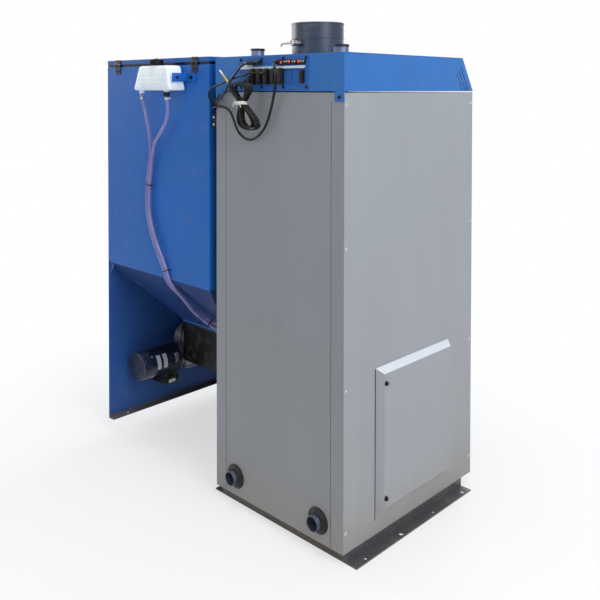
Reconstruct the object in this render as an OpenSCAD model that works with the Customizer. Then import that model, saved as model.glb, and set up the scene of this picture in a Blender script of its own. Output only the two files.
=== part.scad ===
// Pellet boiler with a side hopper, a screw feeder and a water tank for fire protection.
// Millimetres. +Z is up, the doors face -Y and the hopper is on the +X side.
// Every piece is drawn from the casing's left back bottom corner: x runs to the hopper,
// y is 0 at the casing's back and negative towards the doors, z is 0 at the casing's bottom.

/* [Base] */
// Height of the casing above the floor
foot_h = 34; // [25:1:38]
// Leg of the steel angle under each side
angle_leg = 40; // [40:1:50]
// Thickness of the steel angle
angle_t = 4; // [3:0.5:5]
// Reach of the angle beyond the casing
foot_out = 30; // [24:1:32]
// Length of each angle
angle_len = 556; // [520:2:600]
// Distance from the casing's back to the angle's end
angle_back = 20; // [10:1:30]
// Pitch of the holes along each angle
hole_pitch = 158.5; // [140:0.5:170]
// Diameter of the large holes in the angles
hole_large_d = 14; // [12:0.5:16]
// Diameter of the small holes in the angles
hole_small_d = 10.5; // [8:0.5:12]
// Distance from the angle's outer edge to the hole centres
hole_edge = 12; // [10:0.5:14]

/* [Casing] */
// Width of the grey casing across its front
casing_w = 520; // [500:5:580]
// Depth of the grey casing
casing_d = 620; // [600:5:680]
// Height of the grey casing
casing_h = 1220; // [1190:5:1300]
// Thickness of the sheet steel
sheet_t = 1.5; // [1:0.25:2]
// Width of the side panels' return on the back
return_w = 45; // [35:1:60]
// Width of the panels' inner flanges
flange_w = 18; // [12:1:24]
// Height of the lowest screw above the casing's bottom
screw_low = 54; // [40:1:80]
// Distance from the top screw down from the casing's top
screw_top = 34; // [25:1:50]
// Distance from the screws to the panel's edge
screw_edge = 10; // [8:0.5:14]
// Diameter of the screw heads
screw_head_d = 9; // [7:0.5:10]
// Thickness of the insulation's gap behind the side panels
insulation_gap = 12; // [10:1:16]

/* [Service hatch] */
// Length of the service hatch cover from front to back
hatch_len = 354; // [300:2:380]
// Height of the service hatch cover
hatch_h = 405; // [340:5:430]
// Height of the hatch cover's bottom edge above the casing's bottom
hatch_z = 57; // [50:1:90]
// Distance from the casing's back to the hatch cover
hatch_back = 134; // [120:1:150]
// Depth of the hatch cover's tray
hatch_rise = 20; // [14:1:24]
// Width of the hatch cover's bevelled edge
hatch_bevel = 15; // [10:1:20]

/* [Hood] */
// Height of the hood's top above the casing
hood_h = 106; // [96:1:120]
// Gap between the casing and the hood
hood_gap = 3; // [2:0.5:4]
// Depth that the sloping control face takes from the top
slope_run = 60; // [45:1:75]
// Width of the hood's corner tabs
tab_w = 32; // [24:1:40]
// Height of the hood's corner tabs
tab_h = 24; // [18:1:30]
// Number of vent slits in each side of the hood
slit_count = 3; // [2:1:4]
// Pitch of the vent slits
slit_pitch = 14; // [12:0.5:16]
// Width of a vent slit
slit_w = 3.5; // [2.5:0.5:5]

/* [Control panel] */
// Width of the control panel
panel_w = 240; // [200:2:300]
// Height of the control panel along the slope
panel_h = 84; // [74:1:88]
// Diameter of the setting knob
knob_d = 30; // [24:1:36]
// Height of the setting knob
knob_h = 17; // [12:1:22]
// Width of the main switch's rocker
rocker_w = 13.4; // [10:0.2:16]
// Diameter of the rocker's round body
rocker_d = 20.4; // [16:0.2:24]

/* [Sockets] */
// Left edge of the socket plate from the casing's left side
sockets_x = 126; // [110:1:140]
// Width of the socket plate
sockets_w = 284; // [270:1:300]
// Height of the socket plate
sockets_h = 94; // [88:1:98]
// Pitch of the plugs
plug_pitch = 29; // [26:0.5:32]
// Width of a plug
plug_w = 16; // [12:0.5:20]
// Height of a plug
plug_h = 46; // [40:1:50]
// Reach of a plug from the plate
plug_reach = 15; // [12:0.5:17]
// Diameter of a red indicator lamp
lamp_d = 9; // [7:0.5:11]

/* [Boiler body] */
// Thickness of the insulation beside and behind the body
jacket_gap = 40; // [36:1:45]
// Thickness of the body's steel plate
plate_t = 5; // [4:0.5:6]
// Width of the water space around the fire chamber
water_w = 35; // [30:1:40]
// Height of the body above the casing's bottom plate
body_h = 1174; // [1160:1:1180]
// Height of the ash pit's floor above the casing's bottom
pit_z = 30; // [26:1:36]
// Thickness of the shelves that turn the flue gas
shelf_t = 8; // [6:0.5:10]

/* [Flue] */
// Outside diameter of the flue spigot
flue_d = 160; // [140:1:170]
// Wall of the flue spigot
flue_wall = 3; // [2:0.25:4]
// Distance of the flue's centre from the casing's back
flue_back = 180; // [160:1:200]
// Height of the flue's end above the hood
flue_rise = 99; // [85:1:120]
// Distance from the flue's end down to the damper shaft
damper_drop = 62; // [45:1:66]
// Diameter of the damper shaft
damper_shaft_d = 10; // [8:0.5:12]
// Length of the damper lever's arm
lever_len = 55; // [40:1:70]

/* [Water sockets] */
// Outside diameter of a water socket
socket_od = 42; // [40:0.5:44]
// Thread bore of a water socket
socket_bore = 39; // [37:0.5:39]
// Depth of a water socket's thread
socket_depth = 30; // [22:1:36]
// Reach of the sockets beyond the casing and the hood
socket_reach = 25; // [20:1:32]
// Distance between the left and right sockets
socket_span = 340; // [320:2:350]
// Height of the back sockets above the casing's bottom
socket_z = 58; // [50:1:70]
// Distance of the top sockets from the casing's back
socket_back = 90; // [80:1:100]
// Diameter of a rosette
rosette_d = 70; // [60:1:80]
// Height of a rosette
rosette_h = 12; // [8:0.5:14]

/* [Doors] */
// Thickness of the door plates
door_t = 8; // [6:0.5:10]
// Height of the upper door
upper_door_h = 470; // [440:5:480]
// Height of the upper door's bottom above the casing's bottom
upper_door_z = 640; // [630:1:660]
// Height of the lower door
lower_door_h = 360; // [340:5:370]
// Height of the lower door's bottom above the casing's bottom
lower_door_z = 150; // [148:1:160]
// Width of the doors
door_w = 360; // [350:2:380]
// Overlap of a door on the opening's edge
door_lap = 28; // [24:1:32]
// Thickness of the insulating lining behind a door
lining_t = 28; // [20:1:32]
// Diameter of a hinge pin
hinge_pin_d = 10; // [8:0.5:12]
// Reach of a door handle in front of the casing
handle_reach = 70; // [60:1:80]
// Length of a door handle's arm
handle_len = 95; // [80:1:120]
// Height of the ash drawer's front
drawer_front_h = 116; // [110:1:118]
// Length of the ash drawer's tray
drawer_len = 380; // [340:5:400]

/* [Burner and feeder] */
// Height of the burner's and the screw's axis above the casing's bottom
burner_z = 262; // [255:1:275]
// Outside diameter of the burner tube
burner_d = 150; // [140:1:156]
// Length of the burner tube inside the chamber
burner_len = 280; // [240:5:300]
// Outside diameter of the feed tube
tube_d = 96; // [90:1:100]
// Wall of the feed tube and the screw's trough
tube_wall = 4; // [3:0.5:5]
// Diameter of the feed screw
screw_d = 80; // [72:1:82]
// Diameter of the feed screw's core
core_d = 24; // [20:1:28]
// Lead of the feed screw
screw_lead = 75; // [60:1:90]
// Diameter of the screw's journal in the gearbox
journal_d = 20; // [18:0.5:24]
// Distance between the worm's and the wheel's axes
worm_centre = 50; // [48:1:54]
// Teeth of the worm wheel
wheel_teeth = 40; // [40:1:40]
// Width of the gearbox along the screw's axis
gearbox_w = 80; // [76:1:90]
// Diameter of the motor
motor_d = 100; // [90:1:110]
// Length of the motor's body
motor_len = 118; // [100:1:130]
// Length of the motor's fan cover
fan_cover_len = 50; // [44:1:60]
// Diameter of the motor shaft
motor_shaft_d = 14; // [12:0.5:15]

/* [Blower] */
// Diameter of the blower's scroll
scroll_d = 144; // [130:1:150]
// Width of the blower's scroll
scroll_w = 60; // [50:1:66]
// Diameter of the impeller
impeller_d = 114; // [100:1:120]
// Number of impeller blades
blade_count = 16; // [12:1:20]

/* [Hopper] */
// Gap between the casing and the hopper
hopper_gap = 35; // [30:1:45]
// Width of the hopper
hopper_w = 585; // [560:5:640]
// Height of the hopper's top above the casing's bottom
hopper_top = 1306; // [1290:1:1320]
// Height of the funnel's upper edge above the casing's bottom
funnel_top = 598; // [585:1:620]
// Height of the funnel's outlet above the casing's bottom
outlet_z = 368; // [360:1:376]
// Length of the funnel's outlet along the screw
outlet_w = 250; // [220:2:270]
// Width of the funnel's outlet across the screw
outlet_d = 180; // [160:2:200]
// Thickness of the hopper's sheet
hopper_t = 2; // [1.5:0.25:3]
// Height of the skirt's bottom above the casing's bottom
skirt_z = 20; // [10:1:40]
// Width of the skirt's bottom flange
skirt_flange = 30; // [20:1:40]
// Height of the lid's seal
seal_h = 9; // [6:0.5:12]
// Height of the lid's rim
lid_h = 15; // [12:1:20]
// Distance from the hopper's middle to each lid hinge
hinge_off = 221; // [190:1:240]
// Width of a lid hinge
hinge_w = 30; // [24:1:36]

/* [Water tank] */
// Width of the tank at its bottom
tank_w = 204; // [190:1:220]
// Width of the tank at its top
tank_top_w = 156; // [140:1:170]
// Height of the tank
tank_h = 80; // [72:1:86]
// Depth of the tank from back to front
tank_d = 65; // [60:1:70]
// Gap between the hopper and the tank
tank_gap = 5; // [3:0.5:8]
// Distance of the tank's right end from the hopper's left side
tank_x = 112; // [100:1:124]
// Height of the tank's bottom above the casing's bottom
tank_z = 1224; // [1216:1:1226]
// Wall of the tank
tank_wall = 2.5; // [2:0.25:3.5]
// Diameter of the tank's cap
cap_d = 45; // [42:0.5:46]
// Height of the tank's cap
cap_h = 20; // [16:0.5:24]

/* [Cables and hoses] */
// Diameter of the power cable
power_d = 7.5; // [6:0.5:8]
// Diameter of the cables in the loom
loom_d = 6; // [5:0.5:6.5]
// Diameter of the sensor cable
sensor_d = 4.4; // [4:0.2:5]
// Diameter of the motor's cable
motor_cable_d = 5; // [4:0.5:6]
// Outside diameter of the water hoses
hose_d = 11; // [10:0.5:12]
// Number of loops in the tied hank
hank_loops = 8; // [6:2:10]

/* [Hidden] */
$fn = 48;
fit = 0.3;          // clearance between pieces that only lie side by side
running = 0.05;     // radial clearance of a shaft in its bore
eps = 1;            // how far a cut runs past a face

total_w = foot_out + casing_w + hopper_gap + hopper_w;
back_reach = tank_gap + tank_d;
total_d = handle_reach + casing_d + back_reach;
origin_x = foot_out - total_w / 2;
origin_y = total_d / 2 - back_reach;

leg_face = angle_leg - angle_t - foot_out;
base_top = angle_leg - foot_h;
front = -casing_d;
hood_over = sheet_t;
hood_bottom = casing_h + hood_gap;
hood_top = casing_h + hood_h;
mid_x = casing_w / 2;

body_x = [jacket_gap, casing_w - jacket_gap];
body_y = [front + sheet_t, -jacket_gap - plate_t];
body_z = [base_top, base_top + body_h];
wall_in = plate_t + water_w + plate_t;
chamber_x = [body_x[0] + wall_in, body_x[1] - wall_in];
chamber_y = [body_y[0] + 2 * plate_t, body_y[1] - wall_in];
chamber_z = [pit_z, body_z[1] - wall_in - 15];
burner_y = front / 2;

flue_top = hood_top + flue_rise;
damper_z = flue_top - damper_drop;

door_x = [mid_x - door_w / 2, mid_x + door_w / 2];
door_y = [front - 0.5 - door_t, front - 0.5];
upper_z = [upper_door_z, upper_door_z + upper_door_h];
lower_z = [lower_door_z, lower_door_z + lower_door_h];
drawer_z = [lower_door_z - 8 - drawer_front_h, lower_door_z - 8];
drawer_open = [pit_z, drawer_z[1] - 10];
hinge_x = door_x[0] - 18;
hinge_y = front - 8;
knuckle_r = 7.5;

hopper_x = [casing_w + hopper_gap, casing_w + hopper_gap + hopper_w];
hopper_mid = hopper_x[0] + hopper_w / 2;
outlet_x = [hopper_mid - outlet_w / 2, hopper_mid + outlet_w / 2];
outlet_y = [burner_y - outlet_d / 2, burner_y + outlet_d / 2];
lid_z = hopper_top + seal_h;
lid_axis = [5, lid_z];

gearbox_x = [outlet_x[1] + 43, outlet_x[1] + 43 + gearbox_w];
motor_x = (gearbox_x[0] + gearbox_x[1]) / 2;
motor_z = burner_z - worm_centre;
wheel_r = worm_centre - 10;
module_size = 2 * wheel_r / wheel_teeth;
worm_lead = PI * module_size;
motor_y = [burner_y + 76, burner_y + 76 + motor_len];

tank_left = hopper_x[0] + tank_x;
tank_y = [tank_gap, tank_gap + tank_d];
cap_y = tank_gap + tank_d - cap_d / 2 - 1;

slope_rise = hood_top - hood_bottom;
slope_len = norm([slope_run, slope_rise]);
slope_a = atan2(slope_rise, slope_run);

// Places on the hood's back that the cables start from
plate_y = hood_over + sheet_t;
sockets_z = hood_bottom + 4;
plug_x0 = sockets_x + 103;
plug_z = sockets_z + 38;
plug_front = plate_y + plug_reach;
strip_x = [sockets_x + 10, sockets_x + 121];
strip_z = [sockets_z + 70, sockets_z + 83];
strip_y = plate_y + 1;
fuse_x = [sockets_x + 184, sockets_x + 248];
fuse_z = [sockets_z + 73, sockets_z + 83];
fuse_y = plate_y + 12;
connector_x = [sockets_x + 15, sockets_x + 28];
connector_z = [sockets_z + 18, sockets_z + 54];
clamp_x = [casing_w, casing_w + hopper_gap - 8];
clamp_z = [1110, 1150];
tank_outlets = [tank_left + 193, tank_left + 54];
tank_outlet_y = tank_gap + 37;
tank_outlet_z = tank_z - 10;
valve_x = casing_w + 96;
barb_y = burner_y + 84;
barb_z = [burner_z + 140, burner_z + 112];
stub_top = burner_z + 54;

// Routes of the cables and hoses, chosen by hand along their middle lines
power_route = [[sockets_x + 116, strip_y, sockets_z + 78], [sockets_x + 116, 15, sockets_z + 78],
    [236, 28, 1299], [224, 35, 1284], [220, 36, 1264], [226, 32, 1242], [236, 27, 1216], [247, 23, 1190],
    [259, 20, 1163], [273, 17, 1138], [292, 15, 1113], [319, 14, 1092], [352, 13, 1081], [383, 13, 1088],
    [405, 14, 1106], [420, 15, 1134], [434, 16, 1158], [458, 15, 1172], [488, 12, 1176], [512, 10, 1174],
    [527, 5, 1170], [532, -6, 1164], [casing_w + 9, -14, 1156], [casing_w + 9, -14, clamp_z[1]]];
loom_routes = [
    [[plug_x0 + 2 * plug_pitch, plug_front, 1274], [plug_x0 + 2 * plug_pitch + 1, plug_front + 8, 1274],
        [305, 32, 1275], [340, 34, 1273], [370, 31, 1267], [431, 28, 1255], [470, 27, 1243], [501, 26, 1235],
        [528, 22, 1222], [541, 12, 1204], [544, -1, 1186], [543, -10, 1170], [casing_w + 21, -13, 1158],
        [casing_w + 21, -13, clamp_z[1]]],
    [[fuse_x[0] + 8, fuse_y, fuse_z[0] + 5], [fuse_x[0] + 9, fuse_y + 8, fuse_z[0] + 5],
        [336, 34, 1304], [361, 40, 1293], [383, 40, 1275], [405, 38, 1257],
        [424, 36, 1238], [450, 28, 1216], [484, 18, 1200], [509, 9, 1187], [525, 1.5, 1179.5], [535, -7, 1172.5],
        [537.5, -19.5, 1166], [casing_w + 20.5, -26, 1156], [casing_w + 21, -27, clamp_z[1]]],
    [[plug_x0 + 4 * plug_pitch + 3, plug_front, 1254], [plug_x0 + 4 * plug_pitch + 4, plug_front + 6, 1254],
        [360, 27, 1252], [380, 24, 1247], [407, 20, 1238], [446, 15, 1224],
        [482, 10, 1210], [512, 9, 1197], [527, 3, 1189], [533, -10, 1181], [532, -24, 1171],
        [casing_w + 9, -32, 1160], [casing_w + 9, -33, clamp_z[1]]]];
sensor_lead = [[plug_x0 + 4 * plug_pitch - 2, plug_front, 1264], [plug_x0 + 4 * plug_pitch - 2, plug_front + 6, 1264],
    [342, 29, 1261], [339, 32, 1252], [336, 32, 1242], [333, 33, 1230]];
sensor_end = [[388, 37, 1222], [393, 42, 1234], [399, 47, 1242], [406, 50, 1248]];
tip_route = [[406, 50, 1248], [441, 54, 1286]];
motor_route = [for (p = [[0, 24, 0], [0, 25, 11], [-9, 33, 21], [-23, 47, 24], [-34, 63, 12], [-44, 77, -12],
    [-54, 87, -42], [-61, 96, -76], [-62, 108, -115], [-57, 116, -142], [-50, 120, -158], [-40, 120, -160]])
    [motor_x + p[0], burner_y + p[1], stub_top + p[2]]];
hose_left_route = [[tank_outlets[0], tank_outlet_y, tank_outlet_z], [tank_outlets[0] - 1, 41, 1198],
    [855, 37, 1170], [850, 33, 1142], [846, 24, 1085], [847, 18, 1041],
    [852, 14, 997], [864, 13, 952], [874, 13, 880], [873, 13, 812], [855, 14, 761],
    [831, 14, 711], [801, 12, 661], [783, 9, 625], [775, 6.5, 600], [769, -8, 572], [764, -50, 527],
    [752, -78, 490], [725, -118, 453], [691, -142, 432], [658, -163, 418], [630, -185, 407],
    [valve_x, -206, barb_z[0]], [valve_x, barb_y + 0.3, barb_z[0]]];
hose_right_route = [[tank_outlets[1], tank_outlet_y, tank_outlet_z], [tank_outlets[1], 41, 1198],
    [720, 39, 1172], [724, 36, 1148], [738, 33, 1122], [760, 30, 1098], [788, 26, 1074],
    [818, 22, 1044], [838, 17, 1000], [851, 14, 952], [860, 14, 880], [859, 14, 812],
    [842, 15, 761], [815, 15, 711], [785.5, 12, 661], [768, 9, 625], [760, 6.5, 600], [754.5, -8, 572],
    [750, -46, 527], [739, -74, 484], [714, -111, 443], [682, -136, 415], [650, -158, 394],
    [626, -182, 379], [valve_x, -205, barb_z[1]], [valve_x, barb_y + 0.3, barb_z[1]]];

// Helpers for shapes given by their ranges
module at_casing() translate([origin_x, origin_y, foot_h]) children();
module span(x, y, z) translate([x[0], y[0], z[0]]) cube([x[1] - x[0], y[1] - y[0], z[1] - z[0]]);
module rod_x(x, y, z, r) translate([x[0], y, z]) rotate([0, 90, 0]) cylinder(h = x[1] - x[0], r = r);
module rod_y(x, y, z, r) translate([x, y[0], z]) rotate([-90, 0, 0]) cylinder(h = y[1] - y[0], r = r);
module rod_z(x, y, z, r) translate([x, y, z[0]]) cylinder(h = z[1] - z[0], r = r);
module mirrored(side) {
    if (side == 1) translate([casing_w, 0, 0]) mirror([1, 0, 0]) children();
    else children();
}

// A solid with a rectangle below and another rectangle above
module frustum(x, y, z, top_x, top_y) {
    polyhedron(
        points = [[x[0], y[0], z[0]], [x[1], y[0], z[0]], [x[1], y[1], z[0]], [x[0], y[1], z[0]],
            [top_x[0], top_y[0], z[1]], [top_x[1], top_y[0], z[1]],
            [top_x[1], top_y[1], z[1]], [top_x[0], top_y[1], z[1]]],
        faces = [[0, 1, 2, 3], [7, 6, 5, 4], [0, 4, 5, 1], [1, 5, 6, 2], [2, 6, 7, 3], [3, 7, 4, 0]]);
}

// A tube swept along points, with rings that don't twist
function unit(v) = v / norm(v);
function tangents(p) = [for (i = [0 : len(p) - 1])
    unit(p[min(i + 1, len(p) - 1)] - p[max(i - 1, 0)])];
function side_of(t) = unit(cross(t, abs(t[2]) > 0.8 ? [0, 1, 0] : [0, 0, 1]));
function normals(t) = [for (i = 0, n = side_of(t[0]); i < len(t);
    i = i + 1, n = i < len(t) ? unit(n - t[i] * (n * t[i])) : n) n];
module swept_tube(p, d, sides) {
    t = tangents(p);
    n = normals(t);
    rings = [for (i = [0 : len(p) - 1], j = [0 : sides - 1])
        p[i] + d / 2 * (cos(360 * j / sides) * n[i] + sin(360 * j / sides) * cross(t[i], n[i]))];
    last = (len(p) - 1) * sides;
    walls = [for (i = [0 : len(p) - 2], j = [0 : sides - 1], half = [0, 1])
        let (a = i * sides + j, b = i * sides + (j + 1) % sides)
        half == 0 ? [a, a + sides, b + sides] : [a, b + sides, b]];
    ends = [for (j = [1 : sides - 2], end = [0, 1])
        end == 0 ? [0, j, j + 1] : [last, last + j + 1, last + j]];
    polyhedron(points = rings, faces = concat(walls, ends));
}

// Steel angles under both sides, joined by a top plate and two end plates
module base_frame() color("#5a5552") at_casing() difference() {
    y = [-angle_back - angle_len, -angle_back];
    inner = [leg_face + angle_t, casing_w - leg_face - angle_t];
    union() {
        for (side = [0, 1]) mirrored(side) {
            span([-foot_out, -foot_out + angle_leg], y, [-foot_h, -foot_h + angle_t]);
            span([leg_face, leg_face + angle_t], y, [-foot_h, base_top]);
        }
        span(inner, y, [base_top - angle_t, base_top]);
        for (end = [y[0], y[1] - angle_t]) span(inner, [end, end + angle_t], [-foot_h, base_top]);
    }
    for (side = [0, 1], i = [0 : 3]) mirrored(side)
        rod_z(hole_edge - foot_out, foot_hole_y(i), [-foot_h - eps, -foot_h + angle_t + eps],
            (i % 2 == 0 ? hole_small_d : hole_large_d) / 2);
}
function foot_hole_y(i) = -angle_back - 51 - i * hole_pitch;

// Welded steel body: outer shell, water space, fire chamber and gas shelves
module boiler_body() color("#3b3d40") at_casing() {
    difference() {
        union() {
            difference() {
                span(body_x, body_y, body_z);
                span(grow(body_x, -plate_t), [chamber_y[0] - plate_t, body_y[1] - plate_t],
                    grow(body_z, -plate_t));
            }
            span(grow(chamber_x, plate_t), [chamber_y[0] - plate_t - eps, chamber_y[1] + plate_t],
                grow(chamber_z, plate_t));
            rod_z(mid_x, -flue_back, [chamber_z[1] + eps, body_z[1]], flue_d / 2 + 6);
            rod_x([chamber_x[1] + eps, body_x[1]], burner_y, burner_z, burner_d / 2 + 6);
        }
        span(chamber_x, chamber_y, chamber_z);
        span(opening_x(), [body_y[0] - eps, chamber_y[0] + eps], grow(upper_z, -door_lap));
        span(opening_x(), [body_y[0] - eps, chamber_y[0] + eps], grow(lower_z, -door_lap));
        span(opening_x(), [body_y[0] - eps, chamber_y[0] + eps], drawer_open);
        rod_z(mid_x, -flue_back, [chamber_z[1] - eps, body_z[1] + eps], flue_d / 2 + fit);
        rod_x([chamber_x[1] - eps, body_x[1] + eps], burner_y, burner_z, burner_d / 2 + fit);
        for (side = [0, 1]) mirrored(side) {
            rod_y(socket_x(), [body_y[1] - plate_t - eps, body_y[1] + eps], socket_z, socket_od / 2 + 0.1);
            rod_z(socket_x(), -socket_back, [body_z[1] - plate_t - eps, body_z[1] + eps], socket_od / 2 + 0.1);
        }
    }
    shelf_gap = 100;
    for (shelf = [[600, 1], [780, 0], [960, 1]])
        span(grow(chamber_x, 1),
            shelf[1] == 1 ? [chamber_y[0] + shelf_gap, chamber_y[1] + 1] : [chamber_y[0] + 40, chamber_y[1] - shelf_gap],
            [shelf[0], shelf[0] + shelf_t]);
}
function grow(r, d) = [r[0] - d, r[1] + d];
function socket_x() = mid_x - socket_span / 2;
function opening_x() = grow(door_x, -door_lap);

// Mineral wool around the body's sides, back and top
module insulation_jacket() color("#d8c98a") at_casing() difference() {
    span([insulation_gap, casing_w - insulation_gap], [front + 22, -insulation_gap],
        [base_top, casing_h - 8]);
    span(body_x, [front - eps, body_y[1]], [base_top - eps, body_z[1]]);
    rod_z(mid_x, -flue_back, [body_z[1] - eps, casing_h], flue_d / 2 + 8);
    rod_x([body_x[1] - eps, casing_w], burner_y, burner_z, burner_d / 2 + 36);
    for (side = [0, 1]) mirrored(side) {
        rod_y(socket_x(), [body_y[1] - eps, 0], socket_z, socket_od / 2 + 5);
        rod_z(socket_x(), -socket_back, [body_z[1] - eps, casing_h], socket_od / 2 + 5);
    }
}

// Side sheet that wraps the back corner, with flanges at its top and bottom
module side_sheet() difference() {
    union() {
        span([0, sheet_t], [front, 0], [0, casing_h]);
        span([0, return_w], [-sheet_t, 0], [0, casing_h]);
        span([0, leg_face], [front + 30, -return_w], [0, sheet_t]);
        span([0, flange_w - 8], [front + 30, -return_w], [casing_h - sheet_t, casing_h]);
    }
    for (y = [-screw_edge, front + screw_edge], i = [0 : 3])
        rod_x([-eps, sheet_t + eps], y, panel_screw_z(i), 2.1);
    rod_y(tab_w / 2, [-sheet_t - eps, eps], casing_h - tab_h / 2, 2.2);
}
function panel_screw_z(i) = screw_low + i * (casing_h - screw_top - screw_low) / 3;

module side_panel_left() color("#9a9fa6") at_casing() difference() {
    side_sheet();
    span([-eps, sheet_t + eps], [-hatch_back - hatch_len + 30, -hatch_back - 30],
        [hatch_z + 30, hatch_z + hatch_h - 30]);
    for (p = hatch_screws()) rod_x([-eps, sheet_t + eps], p[0], p[1], 2.6);
}

module side_panel_right() color("#9a9fa6") at_casing() difference() {
    mirrored(1) side_sheet();
    rod_x([casing_w - sheet_t - eps, casing_w + eps], burner_y, burner_z, tube_d / 2 + 6);
    span([casing_w - sheet_t - eps, casing_w + eps], grow(duct_y(), 2), grow(duct_z(), 2));
}

// Back sheet, let in between the side sheets and lapped behind them
module back_panel() color("#8a8d90") at_casing() difference() {
    inner = [return_w + 0.6, casing_w - return_w - 0.6];
    union() {
        span(inner, [-sheet_t, 0], [0, casing_h]);
        span(grow(inner, flange_w), [-2 * sheet_t, -sheet_t], [0, casing_h]);
    }
    for (side = [0, 1]) mirrored(side)
        rod_y(socket_x(), [-2 * sheet_t - eps, eps], socket_z, socket_od / 2 + 0.8);
}

// Front sheet with the openings for the two doors and the ash drawer
module front_panel() color("#9a9fa6") at_casing() difference() {
    inner = [sheet_t, casing_w - sheet_t];
    union() {
        span(inner, [front, front + sheet_t], [0, casing_h]);
        for (side = [0, 1]) mirrored(side)
            span([sheet_t, 2 * sheet_t], [front, front + 20], [sheet_t, casing_h - sheet_t]);
    }
    for (z = [grow(upper_z, -door_lap), grow(lower_z, -door_lap), drawer_open])
        span(opening_x(), [front - eps, front + sheet_t + eps], z);
    for (side = [0, 1], i = [0 : 3]) mirrored(side)
        rod_x([0, 4], front + screw_edge, panel_screw_z(i), 2.1);
}

// White pan-head screws along both edges of each side sheet
module panel_screws() color("#e2e4e6") at_casing()
    for (side = [0, 1], y = [-screw_edge, front + screw_edge], i = [0 : 3]) mirrored(side) {
        rod_x([-2.6, 0], y, panel_screw_z(i), screw_head_d / 2);
        rod_x([-0.1, 7], y, panel_screw_z(i), 2);
    }

// Black cap screws of the hatch cover, the hood's tabs and the socket plate
function hatch_screws() = [for (z = [43, hatch_h - 42]) [-hatch_back - hatch_bevel - 7, hatch_z + z]];
function plate_screws() = [for (i = [0 : 3], z = [8, sockets_h - 6])
    [sockets_x + 8 + i * (sockets_w - 16) / 3, sockets_z + z]];
module cap_screws() color("#1d1d1f") at_casing() {
    for (p = hatch_screws()) {
        rod_x([-hatch_rise - 6, -hatch_rise], p[0], p[1], 5.5);
        rod_x([-hatch_rise - 0.1, 6], p[0], p[1], 2.5);
    }
    for (side = [0, 1]) mirrored(side) {
        rod_y(tab_w / 2, [hood_over, hood_over + 3], casing_h - tab_h / 2, 4);
        rod_y(tab_w / 2, [-sheet_t, hood_over + 0.1], casing_h - tab_h / 2, 2);
    }
    for (p = plate_screws()) {
        rod_y(p[0], [hood_over + sheet_t, hood_over + sheet_t + 2.5], p[1], 4);
        rod_y(p[0], [-4, hood_over + sheet_t + 0.1], p[1], 1.8);
    }
}

// Bevelled tray over the service opening in the left side
module burner_hatch_cover() color("#a3a9b1") at_casing() {
    y = [-hatch_back - hatch_len, -hatch_back];
    z = [hatch_z, hatch_z + hatch_h];
    difference() {
        tray(y, z, hatch_rise);
        translate([sheet_t, 0, 0]) tray(grow(y, -sheet_t), grow(z, -sheet_t), hatch_rise);
        for (p = hatch_screws()) rod_x([-hatch_rise - eps, 0], p[0], p[1], 2.6);
    }
    difference() {
        span([-sheet_t, 0], grow(y, -sheet_t / 2), grow(z, -sheet_t / 2));
        span([-sheet_t - eps, eps], grow(y, -14), grow(z, -14));
    }
}
module tray(y, z, rise) rotate([0, -90, 0])
    frustum(z, y, [0, rise], grow(z, -hatch_bevel), grow(y, -hatch_bevel));

// Blue hood with a sloping control face and corner tabs at the back
function hood_profile(d) = [[hood_over - d, hood_bottom - (d > 0 ? eps : 0)], [hood_over - d, hood_top - d],
    [front + slope_run + slope_shift(d) - d * slope_run / slope_rise, hood_top - d],
    [front + slope_shift(d) - (d > 0 ? eps * slope_run / slope_rise : 0), hood_bottom - (d > 0 ? eps : 0)]];
function slope_shift(d) = d * slope_len / slope_rise;
module hood_block(d) translate([-hood_over + d, 0, 0]) rotate([90, 0, 90])
    linear_extrude(height = casing_w + 2 * hood_over - 2 * d) polygon(hood_profile(d));
module top_hood() color("#2f62b0") at_casing() difference() {
    union() {
        difference() {
            hood_block(0);
            hood_block(sheet_t);
        }
        for (side = [0, 1]) mirrored(side)
            span([-hood_over, tab_w], [0, hood_over], [casing_h - tab_h, hood_bottom + 2]);
    }
    rod_z(mid_x, -flue_back, [hood_top - 5, hood_top + eps], flue_d / 2 + 4);
    for (side = [0, 1]) mirrored(side) {
        rod_z(socket_x(), -socket_back, [hood_top - 5, hood_top + eps], socket_od / 2 + 0.8);
        rod_y(tab_w / 2, [-eps, hood_over + eps], casing_h - tab_h / 2, 2.2);
        for (i = [1 : slit_count]) slit(10 + i * slit_pitch);
    }
    for (p = plate_screws()) rod_y(p[0], [-5, hood_over + eps], p[1], 2);
    span(grow([sockets_x, sockets_x + sockets_w], -14), [-5, hood_over + eps],
        [sockets_z + 14, sockets_z + sockets_h - 10]);
    on_slope() translate([-panel_w / 2 + 8, -panel_h / 2 + 8, -8]) cube([panel_w - 16, panel_h - 16, 12]);
}
// A vent slit parallel to the slope, set back from it
module slit(back) translate([-hood_over - eps, front, hood_bottom]) rotate([slope_a, 0, 0])
    translate([0, slope_len * 0.14, -back - slit_w / 2]) cube([sheet_t + 2 * eps, slope_len * 0.68, slit_w]);
// The middle of the sloping face: x along the hood, y up the slope, z straight out of it
module on_slope() translate([mid_x, front + slope_run / 2, (hood_bottom + hood_top) / 2])
    rotate([slope_a, 0, 0]) children();

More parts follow.
